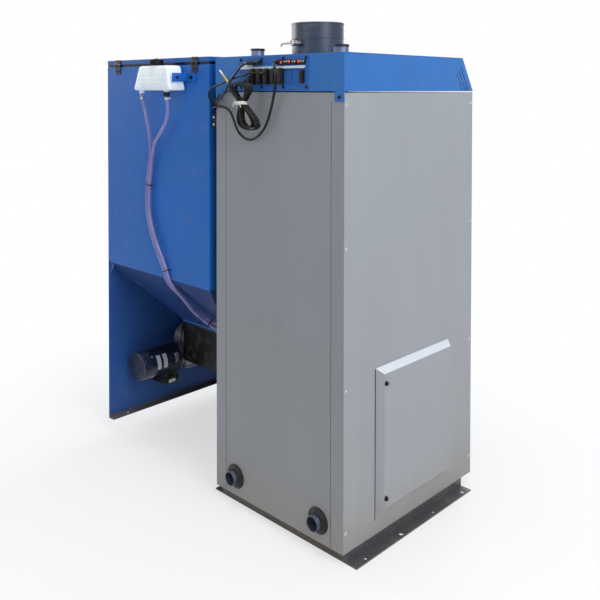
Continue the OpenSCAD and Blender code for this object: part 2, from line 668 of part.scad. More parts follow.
// Control unit let into the slope, with places for the knob, the switch and the display
knob_at = [panel_w / 2 - 44, 0];
switch_at = [-panel_w / 2 + 26, 0];
display_w = 96;
display_h = 50;
module controller_panel() color("#1c1e21") at_casing() on_slope() difference() {
    union() {
        translate([-panel_w / 2, -panel_h / 2, 0]) cube([panel_w, panel_h, 3]);
        translate([-panel_w / 2 + 9, -panel_h / 2 + 9, -34]) cube([panel_w - 18, panel_h - 18, 34]);
    }
    translate([-display_w / 2, -display_h / 2, 1.6]) cube([display_w, display_h, 3]);
    translate([knob_at[0], knob_at[1], -14]) cylinder(h = 20, r = 3 + running);
    translate([switch_at[0] - rocker_w / 2 - fit, switch_at[1] - rocker_d / 2 - 0.6, -15])
        cube([rocker_w + 2 * fit, rocker_d + 1.2, 20]);
    translate([switch_at[0], switch_at[1], -1]) rotate([0, 90, 0])
        cylinder(h = rocker_w + 8, r = 1.5 + running, center = true);
}
module display_window() color("#5d7f8c") at_casing() on_slope()
    translate([-display_w / 2, -display_h / 2, 1.6]) cube([display_w, display_h, 1]);
module controller_knob() color("#2b2d30") at_casing() on_slope() translate([knob_at[0], knob_at[1], 0])
    difference() {
        union() {
            translate([0, 0, -13]) cylinder(h = 18, r = 3);
            translate([0, 0, 3 + fit]) cylinder(h = knob_h, r = knob_d / 2);
        }
        for (i = [0 : 11]) rotate([0, 0, i * 30]) translate([knob_d / 2 + 0.6, 0, 6])
            cylinder(h = knob_h, r = 2, $fn = 16);
        translate([0, knob_d / 2 - 5, 3 + fit + knob_h - 1]) cylinder(h = 3, r = 1.2, $fn = 16);
    }
rocker_tilt = 10;
module main_switch() color("#b3251d") at_casing() on_slope() translate([switch_at[0], switch_at[1], -1])
    rotate([-rocker_tilt, 0, 0]) {
        intersection() {
            rotate([0, 90, 0]) cylinder(h = rocker_w, r = rocker_d / 2, center = true);
            translate([-rocker_w, -rocker_d, -rocker_d]) cube([2 * rocker_w, 2 * rocker_d, rocker_d + 6]);
        }
        rotate([0, 90, 0]) cylinder(h = rocker_w + 6, r = 1.5, center = true);
    }

// Socket plate on the hood's back, with its bright folded lip
module socket_plate() color("#2c5da8") at_casing() difference() {
    union() {
        span([sockets_x, sockets_x + sockets_w], [hood_over, plate_y], [sockets_z, sockets_z + sockets_h]);
        span([sockets_x + 12, sockets_x + sockets_w - 8], [plate_y, plate_y + 5], [sockets_z + 62, sockets_z + 66]);
        for (i = [0, 1]) span([sockets_x + 35 + i * 30, sockets_x + 61 + i * 30], [plate_y, plate_y + 0.8],
            [sockets_z + 20, sockets_z + 54]);
    }
    span(strip_x, [0, plate_y + eps], strip_z);
    span(fuse_x, [0, plate_y + eps], fuse_z);
    span(connector_x, [0, plate_y + eps], connector_z);
    for (i = [0 : 4]) span(grow(plug_range(i), -2), [0, plate_y + eps], [plug_z - plug_h / 2 + 2, plug_z + plug_h / 2 - 2]);
    for (p = plate_screws()) rod_y(p[0], [0, plate_y + eps], p[1], 2);
}
function plug_range(i) = [plug_x0 + i * plug_pitch - plug_w / 2, plug_x0 + i * plug_pitch + plug_w / 2];

// Black terminal strips, connector and socket bodies behind the plate
module socket_strip() color("#17181a") at_casing() {
    span(strip_x, [hood_over, strip_y], strip_z);
    span(grow(strip_x, -8), [-14, hood_over + eps], grow(strip_z, -4));
    span(fuse_x, [-14, fuse_y], fuse_z);
    span(connector_x, [-14, plate_y + 6], connector_z);
    for (i = [0 : 4]) span(grow(plug_range(i), -2), [-22, plate_y], [plug_z - plug_h / 2 + 2, plug_z + plug_h / 2 - 2]);
}
lamp_spots = [[34, 78], [72, 78], [104, 76]];
module indicator_lamps() color("#e0281c") at_casing()
    for (p = lamp_spots) translate([sockets_x + p[0], plate_y + 1, sockets_z + p[1]]) rotate([-90, 0, 0]) {
        cylinder(h = 2, r = lamp_d / 2);
        translate([0, 0, 2]) intersection() {
            scale(lamp_d / 2) sphere(r = 1);
            translate([0, 0, lamp_d / 2]) cube(lamp_d, center = true);
        }
    }

// Flue spigot, with bores for the damper's shaft
module flue_collar() color("#46566e") at_casing() difference() {
    union() {
        rod_z(mid_x, -flue_back, [chamber_z[1] + 5, flue_top - 47], flue_d / 2 - 0.75);
        rod_z(mid_x, -flue_back, [flue_top - 48, flue_top], flue_d / 2);
        rod_z(mid_x, -flue_back, [body_z[1], body_z[1] + 6], flue_d / 2 + 4);
    }
    rod_z(mid_x, -flue_back, [chamber_z[1], flue_top + eps], flue_d / 2 - flue_wall);
    rod_y(mid_x, [-flue_back - flue_d, -flue_back + flue_d], damper_z, damper_shaft_d / 2 + running);
}
module damper_flap() color("#6d7278") at_casing() {
    translate([mid_x, -flue_back, damper_z - 1]) cylinder(h = 2, r = flue_d / 2 - flue_wall - 1);
    rod_y(mid_x, [-flue_back - flue_d / 2 - 5, -flue_back + flue_d / 2 + 22], damper_z, damper_shaft_d / 2);
}
// Zinc hub on the shaft's end with a bent rod as its lever
hub_y = [-flue_back + flue_d / 2 + fit, -flue_back + flue_d / 2 + 34];
module damper_lever() color("#b9bec4") at_casing() {
    difference() {
        rod_y(mid_x, hub_y, damper_z, 9);
        rod_y(mid_x, [hub_y[0] - eps, -flue_back + flue_d / 2 + 22], damper_z, damper_shaft_d / 2);
    }
    translate([mid_x, hub_y[1] - 9, damper_z]) rotate([0, 90, 0]) cylinder(h = lever_len - 3, r = 3);
    translate([mid_x + lever_len - 3, hub_y[1] - 9, damper_z]) sphere(r = 3);
    rod_z(mid_x + lever_len - 3, hub_y[1] - 9, [damper_z - 9, damper_z], 3);
}

// Threaded water sockets with weld collars: two low on the back and two on the top
module water_socket(start, seat, end) difference() {
    union() {
        cylinder(h = end - start, r = socket_od / 2);
        translate([0, 0, seat - start]) cylinder(h = 3, r = socket_od / 2 + 3);
    }
    translate([0, 0, -eps]) cylinder(h = end - start + 2 * eps, r = 17);
    translate([0, 0, end - start - socket_depth]) cylinder(h = socket_depth + eps, r = socket_bore / 2);
}
module water_sockets() color("#9da1a6") at_casing() for (side = [0, 1]) mirrored(side) {
    translate([socket_x(), body_y[1] - plate_t, socket_z]) rotate([-90, 0, 0])
        water_socket(body_y[1] - plate_t, body_y[1], socket_reach);
    translate([socket_x(), -socket_back, body_z[1] - plate_t])
        water_socket(body_z[1] - plate_t, body_z[1], hood_top + socket_reach);
}
// Black rosettes round the low sockets and guard rings on the ends of the top ones
module pipe_rosettes() color("#141517") at_casing() for (side = [0, 1]) mirrored(side) {
    translate([socket_x(), 0, socket_z]) rotate([-90, 0, 0]) rotate_extrude()
        polygon([[socket_od / 2 + 0.2, 0], [rosette_d / 2, 0], [rosette_d / 2, 2],
            [socket_od / 2 + 4, rosette_h], [socket_od / 2 + 0.2, rosette_h]]);
    difference() {
        rod_z(socket_x(), -socket_back, [hood_top + socket_reach - 5, hood_top + socket_reach + 1.5],
            socket_od / 2 + 1.5);
        rod_z(socket_x(), -socket_back, [hood_top + socket_reach - 6, hood_top + socket_reach],
            socket_od / 2);
        rod_z(socket_x(), -socket_back, [hood_top, hood_top + socket_reach + 3], socket_bore / 2 + 0.5);
    }
}

// Doors: a plate with a folded rim, knuckles on the hinge side and a bore for the handle
function knuckle_z(z) = [z[0] + 50, z[1] - 70];
handle_x = door_x[1] - 24;
module door(z) {
    difference() {
        span(door_x, door_y, z);
        rod_y(handle_x, [door_y[0] - eps, door_y[1] + eps], (z[0] + z[1]) / 2, 7 + running);
        span(grow(door_x, -30), [door_y[0] - eps, door_y[0] + 1.5], grow(z, -30));
    }
    for (k = knuckle_z(z)) difference() {
        union() {
            rod_z(hinge_x, hinge_y, [k + 20 + fit, k + 40], knuckle_r);
            span([hinge_x, door_x[0] + 1], [hinge_y - 4, hinge_y + 4], [k + 20 + fit, k + 40]);
        }
        rod_z(hinge_x, hinge_y, [k, k + 41], hinge_pin_d / 2 + running);
    }
}
module lining(z) span([opening_x()[0] + 22, opening_x()[1] - 6], [door_y[1], door_y[1] + lining_t],
    grow(z, -door_lap - 5));
module door_handle(z) {
    mid = (z[0] + z[1]) / 2;
    grip_y = front - handle_reach + 12;
    rod_y(handle_x, [grip_y, door_y[1] - 0.5], mid, 7);
    rod_y(handle_x, [door_y[0] - 12, door_y[0] - fit], mid, 15);
    translate([handle_x, grip_y, mid]) rotate([-90, 0, 0]) cylinder(h = 14, r = 12);
    rod_z(handle_x, grip_y + 7, [mid - handle_len + 25, mid], 6);
    rod_z(handle_x, grip_y, [mid - handle_len - 25, mid - handle_len + 40], 12);
    translate([handle_x, grip_y, mid - handle_len - 25]) sphere(r = 12);
    translate([handle_x, grip_y, mid - handle_len + 40]) sphere(r = 12);
}
module upper_door() color("#2b5aa5") at_casing() door(upper_z);
module upper_door_lining() color("#d9d2c0") at_casing() lining(upper_z);
module upper_door_handle() color("#1a1b1d") at_casing() door_handle(upper_z);
module lower_door() color("#2b5aa5") at_casing() door(lower_z);
module lower_door_lining() color("#d9d2c0") at_casing() lining(lower_z);
module lower_door_handle() color("#1a1b1d") at_casing() door_handle(lower_z);
module door_hinges() color("#8d9095") at_casing()
    for (z = [upper_z, lower_z], k = knuckle_z(z)) {
        rod_z(hinge_x, hinge_y, [k, k + 20], knuckle_r);
        rod_z(hinge_x, hinge_y, [k + 10, k + 38], hinge_pin_d / 2);
        span([hinge_x - 20, hinge_x], [hinge_y - 4, front], [k, k + 20]);
        span([hinge_x - 34, hinge_x - 14], [front - 3, front], [k - 12, k + 32]);
    }

// Ash drawer with its own front, below the lower door
module ash_drawer() color("#33363a") at_casing() {
    tray_x = grow(opening_x(), -3);
    tray_y = [front - 0.5, front - 0.5 + drawer_len];
    tray_z = [pit_z + fit, drawer_open[1] - 6];
    span(grow(door_x, -12), [front - 0.5 - door_t, front - 0.5], drawer_z);
    difference() {
        span(tray_x, tray_y, tray_z);
        span(grow(tray_x, -2), [tray_y[0] + 2, tray_y[1] - 2], [tray_z[0] + 2, tray_z[1] + eps]);
    }
    grip_z = (drawer_z[0] + drawer_z[1]) / 2;
    for (x = [mid_x - 60, mid_x + 60])
        rod_y(x, [front - 42, front - 0.5 - door_t], grip_z, 5);
    rod_x([mid_x - 72, mid_x + 72], front - 42, grip_z, 6);
}

// Burner tube through the body's right side, with its flange and slotted grate
burner_x = [chamber_x[1] - burner_len, body_x[1]];
module burner() color("#4b4744") at_casing() {
    difference() {
        union() {
            rod_x([burner_x[0], burner_x[1]], burner_y, burner_z, burner_d / 2);
            rod_x([burner_x[1], burner_x[1] + 8], burner_y, burner_z, burner_d / 2 + 25);
        }
        rod_x([burner_x[0] - eps, burner_x[1] - 5], burner_y, burner_z, burner_d / 2 - 5);
        rod_x([burner_x[1] - 6, burner_x[1] + 9], burner_y, burner_z, tube_d / 2 + fit);
        span([burner_x[1] - 6, burner_x[1] + 9], grow(duct_y(), -2.5), grow(duct_z(), -2.5));
    }
    difference() {
        grate_half = sqrt(pow(burner_d / 2 - 5, 2) - pow(40, 2)) + 1;
        span([burner_x[0] + 4, burner_x[1] - 40], [burner_y - grate_half, burner_y + grate_half],
            [burner_z - 44, burner_z - 40]);
        for (i = [0 : 8]) span([burner_x[0] + 20 + i * 18, burner_x[0] + 26 + i * 18],
            [burner_y - grate_half + 15, burner_y + grate_half - 15], [burner_z - 45, burner_z - 39]);
    }
}

// Blower under the feed tube that blows through a flat duct into the burner's flange
scroll_x = casing_w + 100;
function duct_y() = [burner_y - scroll_w / 2, burner_y + scroll_w / 2];
function duct_z() = [burner_z - burner_d / 2 + 4, burner_z - tube_d / 2 - 3];
scroll_z = burner_z - tube_d / 2 - 4 - scroll_d / 2;
module blower_housing() color("#24262a") at_casing() difference() {
    union() {
        rod_y(scroll_x, duct_y(), scroll_z, scroll_d / 2);
        span([body_x[1] + 8, scroll_x], duct_y(), duct_z());
        rod_y(scroll_x, [duct_y()[0] - 62, duct_y()[0] - 4], scroll_z, 40);
        rod_y(scroll_x, [duct_y()[0] - 5, duct_y()[0] + eps], scroll_z, 30);
    }
    rod_y(scroll_x, [duct_y()[0] + 2.5, duct_y()[1] - 2.5], scroll_z, scroll_d / 2 - 2.5);
    span([body_x[1], scroll_x], grow(duct_y(), -2.5), grow(duct_z(), -2.5));
    rod_y(scroll_x, [duct_y()[1] - 5, duct_y()[1] + eps], scroll_z, 34);
    rod_y(scroll_x, [duct_y()[0] - 40, duct_y()[0] + 5], scroll_z, 4 + running);
}
module blower_impeller() color("#a7acb2") at_casing() {
    y = [duct_y()[0] + 7, duct_y()[1] - 7];
    rod_y(scroll_x, [duct_y()[0] - 38, y[0] + 12], scroll_z, 4);
    rod_y(scroll_x, [y[0], y[0] + 2], scroll_z, impeller_d / 2);
    rod_y(scroll_x, [y[0], y[0] + 14], scroll_z, 10);
    translate([scroll_x, y[0], scroll_z]) rotate([-90, 0, 0]) for (i = [0 : blade_count - 1])
        rotate([0, 0, i * 360 / blade_count]) translate([impeller_d / 2 - 18, -1, 0]) cube([16, 2, y[1] - y[0]]);
}

// Hopper box with a four-sided funnel and an outlet flange
module hopper_body() color("#2f63a8") at_casing() difference() {
    union() {
        span(hopper_x, [front, 0], [funnel_top, hopper_top]);
        funnel();
        span(grow(outlet_x, 5), grow(outlet_y, 5), [outlet_z, outlet_z + 5]);
    }
    inner_x = grow(hopper_x, -hopper_t);
    inner_y = [front + hopper_t, -hopper_t];
    span(inner_x, inner_y, [funnel_top, hopper_top + eps]);
    frustum(grow(outlet_x, -hopper_t), grow(outlet_y, -hopper_t), [outlet_z, funnel_top], inner_x, inner_y);
    span(grow(outlet_x, -hopper_t), grow(outlet_y, -hopper_t), [outlet_z - eps, outlet_z + 1]);
}

// Skirt sheets below the hopper's right side and front, with a bottom flange and gussets
module hopper_skirt() color("#2c5ca0") at_casing() difference() {
    z = [skirt_z, funnel_top];
    union() {
        span([hopper_x[1] - hopper_t, hopper_x[1]], [front, 0], z);
        span([hopper_x[1] - skirt_flange, hopper_x[1]], [front, 0], [skirt_z, skirt_z + hopper_t]);
        span([hopper_x[0], hopper_x[1]], [front, front + hopper_t], z);
        span([hopper_x[0], hopper_x[1]], [front, front + skirt_flange], [skirt_z, skirt_z + hopper_t]);
        translate([hopper_x[1] - hopper_t - 28, -6, 0]) rotate([90, 0, 0]) linear_extrude(height = hopper_t)
            polygon([[0, funnel_top - 5], [28.5, funnel_top - 60], [28.5, funnel_top - 5]]);
    }
    funnel();
}
module funnel() frustum(outlet_x, outlet_y, [outlet_z, funnel_top], hopper_x, [front, 0]);

// Channels that carry the hopper on the boiler's side
module hopper_brackets() color("#3a3d42") at_casing() for (z = [funnel_top + 60, hopper_top - 190])
    difference() {
        span([casing_w, casing_w + hopper_gap], [front + 110, -110], [z, z + 50]);
        span([casing_w + 3, casing_w + hopper_gap - 3], [front + 110 - eps, -110 + eps], [z + 3, z + 51]);
    }

// Lid tray that closes on a seal and turns backwards on two hinges
module hopper_lid() color("#3a74bd") at_casing() difference() {
    span(hopper_x, [front, 0], [lid_z, lid_z + lid_h]);
    span(grow(hopper_x, -hopper_t), [front + hopper_t, -hopper_t], [lid_z - eps, lid_z + lid_h - hopper_t]);
}
module lid_seal() color("#111214") at_casing() difference() {
    span(grow(hopper_x, -1), [front + 1, -1], [hopper_top, lid_z - fit]);
    span(grow(hopper_x, -14), [front + 14, -14], [hopper_top - eps, lid_z]);
}
hinge_places = [hopper_mid - hinge_off, hopper_mid + hinge_off];
hinge_r = 4;
module lid_hinge_base() color("#161719") at_casing() for (x = hinge_places) {
    span([x - hinge_w / 2, x + hinge_w / 2], [0, 2.5], [lid_axis[1] - 34, lid_axis[1] - 5]);
    for (end = [-1, 1]) translate([end * hinge_w / 3, 0, 0]) {
        rod_x([x - hinge_w / 6 + fit, x + hinge_w / 6 - fit], lid_axis[0], lid_axis[1], hinge_r);
        span([x - hinge_w / 6 + fit, x + hinge_w / 6 - fit], [0, lid_axis[0] + 1], [lid_axis[1] - 9, lid_axis[1]]);
    }
    rod_x([x - hinge_w / 2, x + hinge_w / 2], lid_axis[0], lid_axis[1], 2);
}
module lid_hinge_leaf() color("#161719") at_casing() for (x = hinge_places) {
    span([x - hinge_w / 2, x + hinge_w / 2], [0, 2.5], [lid_axis[1] + 5, lid_axis[1] + lid_h + 1]);
    difference() {
        union() {
            rod_x([x - hinge_w / 6, x + hinge_w / 6], lid_axis[0], lid_axis[1], hinge_r);
            span([x - hinge_w / 6, x + hinge_w / 6], [0.5, lid_axis[0] + 1], [lid_axis[1], lid_axis[1] + 6]);
        }
        rod_x([x - hinge_w / 2, x + hinge_w / 2], lid_axis[0], lid_axis[1], 2 + running);
    }
}

// Screw trough under the funnel, with the feed tube that reaches into the burner
trough_x = [outlet_x[0] + 10, gearbox_x[0]];
module feeder_box() color("#191a1c") at_casing() difference() {
    union() {
        span(grow(outlet_x, 5), grow(outlet_y, 5), [outlet_z - 8, outlet_z]);
        span(trough_x, grow(outlet_y, -25), [burner_z - 57, outlet_z - 8]);
        rod_x([burner_x[1] + 1, trough_x[0] + 4], burner_y, burner_z, tube_d / 2);
        rod_z(valve_x, burner_y, [burner_z, burner_z + tube_d / 2 + 6], 16);
    }
    span([trough_x[0] + 6, outlet_x[1] - 10], grow(outlet_y, -31), [burner_z, outlet_z + eps]);
    rod_x([burner_x[1] - 5, trough_x[1] - 10], burner_y, burner_z, tube_d / 2 - tube_wall);
    rod_x([trough_x[1] - 11, trough_x[1] + eps], burner_y, burner_z, journal_d / 2 + running);
}

// Feed screw: one helical flight round a core, with a journal that carries the worm wheel
module feed_screw() color("#70757b") at_casing() {
    x0 = burner_x[1] - 4;
    flight = trough_x[1] - 12 - x0;
    translate([x0, burner_y, burner_z]) rotate([0, 90, 0])
        linear_extrude(height = flight, twist = -360 * flight / screw_lead, slices = round(flight / screw_lead * 16))
            union() {
                circle(r = core_d / 2, $fn = 16);
                translate([0, -2]) square([screw_d / 2, 4]);
            }
    rod_x([x0 + flight - 1, gearbox_x[1] - 8], burner_y, burner_z, journal_d / 2);
}

// Worm gearbox of cast aluminium
module gearbox_housing() color("#b4b8bc") at_casing() difference() {
    union() {
        rod_x(gearbox_x, burner_y, burner_z, wheel_r + 12);
        span([gearbox_x[0] + 4, gearbox_x[1] - 4], [burner_y - 46, burner_y + 46], [motor_z - 36, burner_z]);
        rod_y(motor_x, [burner_y - 58, burner_y + 62], motor_z, 30);
        span([gearbox_x[0] + 4, gearbox_x[1] - 4], [burner_y - 52, burner_y + 52], [motor_z - 44, motor_z - 36]);
        rod_y(motor_x, [burner_y + 62, burner_y + 70], motor_z, 39.5);
        rod_z(motor_x, burner_y + 24, [burner_z + 20, stub_top], 9);
        for (i = [0 : 2]) span([gearbox_x[0] + 16 + i * 16, gearbox_x[0] + 19 + i * 16],
            [burner_y - 49, burner_y + 49], [motor_z - 40, burner_z]);
    }
    rod_x([gearbox_x[0] + 8, gearbox_x[1] - 8], burner_y, burner_z, wheel_r + 3.5);
    rod_y(motor_x, [burner_y - 30, burner_y + 30], motor_z, 14);
    rod_y(motor_x, [burner_y - 50, burner_y + 72], motor_z, motor_shaft_d / 2 + running);
    rod_x([gearbox_x[0] - eps, gearbox_x[1] - 7.5], burner_y, burner_z, journal_d / 2 + running);
}
module worm_wheel() color("#b58a45") at_casing() translate([motor_x, burner_y, burner_z]) rotate([0, 90, 0])
    difference() {
        union() {
            translate([0, 0, -6]) linear_extrude(height = 12) polygon([for (i = [0 : wheel_teeth - 1],
                p = [[wheel_r - 2.5, -1.6], [wheel_r + 2, -0.55], [wheel_r + 2, 0.55], [wheel_r - 2.5, 1.6]])
                let (a = i * 360 / wheel_teeth + p[1]) p[0] * [cos(a), sin(a)]]);
            cylinder(h = 30, r = journal_d / 2 + 6, center = true);
        }
        cylinder(h = 40, r = journal_d / 2, center = true);
    }

// Motor with cooling ribs, its flange and its fan cover
module motor_body() color("#1f2b44") at_casing() difference() {
    union() {
        rod_y(motor_x, [burner_y + 70, motor_y[0]], motor_z, 44);
        rod_y(motor_x, motor_y, motor_z, motor_d / 2);
        rod_y(motor_x, [motor_y[1], motor_y[1] + fan_cover_len], motor_z, motor_d / 2 + 2);
    }
    rod_y(motor_x, [burner_y + 69, motor_y[1] + 2], motor_z, motor_shaft_d / 2 + running);
    rod_y(motor_x, [motor_y[1] + 1, motor_y[1] + fan_cover_len - 2], motor_z, motor_d / 2);
    for (i = [0 : 11], r = [20, 34]) translate([motor_x, motor_y[1] + fan_cover_len - 3, motor_z])
        rotate([0, i * 30, 0]) translate([r - 5, 0, -2]) cube([10, 5, 4]);
}
worm_r = worm_centre - wheel_r;
module motor_rotor() color("#c3c7cb") at_casing() {
    rod_y(motor_x, [burner_y + 20, motor_y[1] + fan_cover_len - 8], motor_z, motor_shaft_d / 2);
    rod_y(motor_x, [burner_y - 49, burner_y - 19], motor_z, motor_shaft_d / 2);
    fan_y = [motor_y[1] + 8, motor_y[1] + fan_cover_len - 12];
    rod_y(motor_x, [fan_y[0], fan_y[0] + 2], motor_z, motor_d / 2 - 6);
    for (i = [0 : 8]) translate([motor_x, fan_y[0], motor_z]) rotate([-90, 0, 0]) rotate([0, 0, i * 40])
        translate([8, -1, 0]) cube([motor_d / 2 - 16, 2, fan_y[1] - fan_y[0]]);
    worm_len = 40;
    worm_root = worm_r - 1.25 * module_size;
    translate([motor_x, burner_y - worm_len / 2, motor_z]) rotate([-90, 0, 0])
        linear_extrude(height = worm_len, twist = -360 * worm_len / worm_lead,
            slices = round(worm_len / worm_lead * 12))
            rotate([0, 0, 90 - 360 * (worm_len / 2) / worm_lead]) worm_section(worm_root);
}
// Cut square to the worm's axis: its root circle and the quarter turn that its one thread fills
module worm_section(root) {
    circle(r = root, $fn = 16);
    polygon([for (a = [-40 : 10 : 40]) (worm_r + module_size) * [cos(a), sin(a)], [0, 0]]);
}
module motor_box() color("#232018") at_casing() difference() {
    span([motor_x - 40, motor_x + 40], [burner_y + 90, burner_y + 150], [motor_z - motor_d / 2 - 30, motor_z - 25]);
    rod_y(motor_x, [burner_y + 89, burner_y + 151], motor_z, motor_d / 2);
}

// Translucent water tank on the hopper's back, with its neck and outlets
function tank_range(z) = let (k = (z - tank_z) / tank_h, inset = (tank_w - tank_top_w) / 2 * k)
    [tank_left + inset, tank_left + tank_w - inset];
cap_x = tank_left + tank_w / 2;
module tank_shell(d) frustum(grow([tank_left, tank_left + tank_w], -d), grow(tank_y, -d),
    [tank_z + d, tank_z + tank_h - d], grow(tank_range(tank_z + tank_h), -d), [tank_y[0] + d, tank_y[1] - 6 - d]);
module water_tank() color("#e4ecf2", 0.9) at_casing() difference() {
    union() {
        tank_shell(0);
        rod_z(cap_x, cap_y, [tank_z + tank_h - 5, tank_z + tank_h + 9], 16);
        for (x = tank_outlets) rod_z(x, tank_outlet_y, [tank_outlet_z, tank_z + 2], 8);
    }
    tank_shell(tank_wall);
    rod_z(cap_x, cap_y, [tank_z + tank_h - 8, tank_z + tank_h + 10], 13);
}
// Black screw cap over the tank's neck
module tank_cap() color("#15161a") at_casing() difference() {
    z0 = tank_z + tank_h + 1;
    union() {
        rod_z(cap_x, cap_y, [z0, z0 + cap_h], cap_d / 2 - 1);
        for (i = [0 : 23]) translate([cap_x, cap_y, z0]) rotate([0, 0, i * 15])
            translate([cap_d / 2 - 2, -1, 0]) cube([2, 2, cap_h - 1]);
        rod_z(cap_x, cap_y, [z0 + cap_h, z0 + cap_h + 3], 6);
    }
    rod_z(cap_x, cap_y, [z0 - eps, tank_z + tank_h + 9 + fit], 16 + running);
}
// Rail and strap on the hopper that hold the tank
module tank_bracket() color("#2f63a8") at_casing() {
    z = [tank_z + 28, tank_z + 56];
    end_x = tank_left;
    span([end_x - 44, tank_left + tank_w - 40], [0, tank_gap], z);
    span([end_x - 3.5, end_x - 2], [0, tank_y[1] - 12], z);
}

// Brass fire valve on the feed tube, with two hose tails
module fire_valve() color("#b79655") at_casing() {
    rod_z(valve_x, burner_y, [burner_z + tube_d / 2 + 6, burner_z + 94], 12);
    rod_z(valve_x, burner_y, [burner_z + 90, burner_z + 162], 20);
    rod_z(valve_x, burner_y, [burner_z + 162, burner_z + 190], 12);
    for (z = barb_z) rod_y(valve_x, [burner_y, barb_y], z, 7);
}

// Black plugs on the socket plate, and the block that clamps the cables beside the hopper
module cable_fittings() color("#131415") at_casing() {
    for (i = [0 : 4]) difference() {
        span(plug_range(i), [plate_y, plug_front], [plug_z - plug_h / 2, plug_z + plug_h / 2]);
        for (x = plug_range(i)) translate([x, plug_front, plug_z - plug_h / 2 - eps]) rotate([0, 0, 45])
            cube([3, 3, 2 * plug_h + 4], center = true);
    }
    span(clamp_x, [-42, -6], clamp_z);
}

module power_cable() color("#131415") at_casing() swept_tube(power_route, power_d, 10);
module cable_loom() color("#17181a") at_casing() for (p = loom_routes) swept_tube(p, loom_d, 8);
// The sensor's cable: a lead, a hank of nested loops tied at its waist, and the free end
hank_turns = hank_loops / 2;
hank_pitch = sensor_d + 0.9;
hank_waist_z = 1189;
hank_up = 59;
hank_down = 76;
hank_back = 34;
function hank_axis(z) = lookup(z, [[hank_waist_z - hank_down, 314], [hank_waist_z, 348], [hank_waist_z + hank_up, 360]]);
function hank_point(t) = let (
    u = -360 * t,
    v = abs(cos(u)),
    up = cos(u) >= 0,
    outer = min(1, max(0, 2 * (t - hank_turns) + 0.5)),
    lobe = (up ? 24 : 20) + 14 * outer,
    waist = 2.7 + 6.6 * outer,
    reach = v * ((up ? hank_up : hank_down) - 7 * (1 - outer)),
    z = hank_waist_z + (up ? reach : -reach),
    w = sqrt(1 - v) * (waist + lobe * pow(v, 1.5) / 0.325))
    [hank_axis(z) + (sin(u) >= 0 ? w : -w), hank_back + hank_pitch * min(t, 2 * hank_turns - t), z];
hank = [for (t = [0.16 : 1 / 24 : 2 * hank_turns - 0.19]) hank_point(t)];
hank_gap = min([for (i = [0 : len(hank) - 8], j = [i + 6 : len(hank) - 2])
    norm((hank[i] + hank[i + 1]) / 2 - (hank[j] + hank[j + 1]) / 2)]) - sensor_d;
echo(hank_gap = hank_gap, hank_rings = len(hank), hank_first = hank[0], hank_last = hank[len(hank) - 1]);
module sensor_cable() color("#17181a") at_casing()
    swept_tube(concat(sensor_lead, hank, sensor_end), sensor_d, 6);
module sensor_tip() color("#d9b23a") at_casing() {
    d = tip_route[1] - tip_route[0];
    translate(tip_route[0]) rotate([0, acos(d[2] / norm(d)), atan2(d[1], d[0])])
        cylinder(h = norm(d), r = sensor_d / 2 + 0.8);
}
module motor_cable() color("#222326") at_casing() swept_tube(motor_route, motor_cable_d, 8);
module hose_left() color("#8c86b8", 0.7) at_casing() swept_tube(hose_left_route, hose_d, 10);
module hose_right() color("#8c86b8", 0.7) at_casing() swept_tube(hose_right_route, hose_d, 10);

base_frame();
boiler_body();
insulation_jacket();
side_panel_left();
side_panel_right();
back_panel();
front_panel();
panel_screws();
cap_screws();
burner_hatch_cover();
top_hood();
controller_panel();
display_window();
controller_knob();
main_switch();
socket_plate();
socket_strip();
indicator_lamps();
flue_collar();
damper_flap();
damper_lever();
water_sockets();
pipe_rosettes();
upper_door();
upper_door_lining();
upper_door_handle();
lower_door();
lower_door_lining();
lower_door_handle();
door_hinges();
ash_drawer();
burner();
blower_housing();
blower_impeller();
hopper_body();
hopper_skirt();
hopper_brackets();
hopper_lid();
lid_seal();
lid_hinge_base();
lid_hinge_leaf();
feeder_box();
feed_screw();
gearbox_housing();
worm_wheel();
motor_body();
motor_rotor();
motor_box();
water_tank();
tank_cap();
tank_bracket();
fire_valve();
cable_fittings();
power_cable();
cable_loom();
sensor_cable();
sensor_tip();
motor_cable();
hose_left();
hose_right();
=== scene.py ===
"""Dresses the pellet boiler's frame: finishes for its sheet metal and castings,
and the fasteners, cables, hoses and fittings that the plain solids leave out.

Shapes are drawn in millimetres from the casing's left back bottom corner:
x runs to the hopper, y is 0 at the casing's back, z is 0 at the casing's bottom."""
import math

import bmesh
import bpy
from bpy.props import FloatProperty, FloatVectorProperty, IntProperty, PointerProperty
from mathutils import Matrix, Vector


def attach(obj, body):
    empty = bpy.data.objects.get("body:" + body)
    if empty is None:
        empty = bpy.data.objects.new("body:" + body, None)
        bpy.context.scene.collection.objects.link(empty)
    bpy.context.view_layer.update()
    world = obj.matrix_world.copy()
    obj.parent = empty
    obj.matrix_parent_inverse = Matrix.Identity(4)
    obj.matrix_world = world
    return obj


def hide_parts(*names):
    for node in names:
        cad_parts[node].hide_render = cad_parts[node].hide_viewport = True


bl_info = {
    "name": "Pellet boiler",
    "version": (1, 0, 0),
    "blender": (4, 5, 0),
    "location": "View3D > Sidebar > Boiler",
    "description": "Builds the finishes and fittings of a pellet boiler with a side hopper",
    "category": "Object",
}

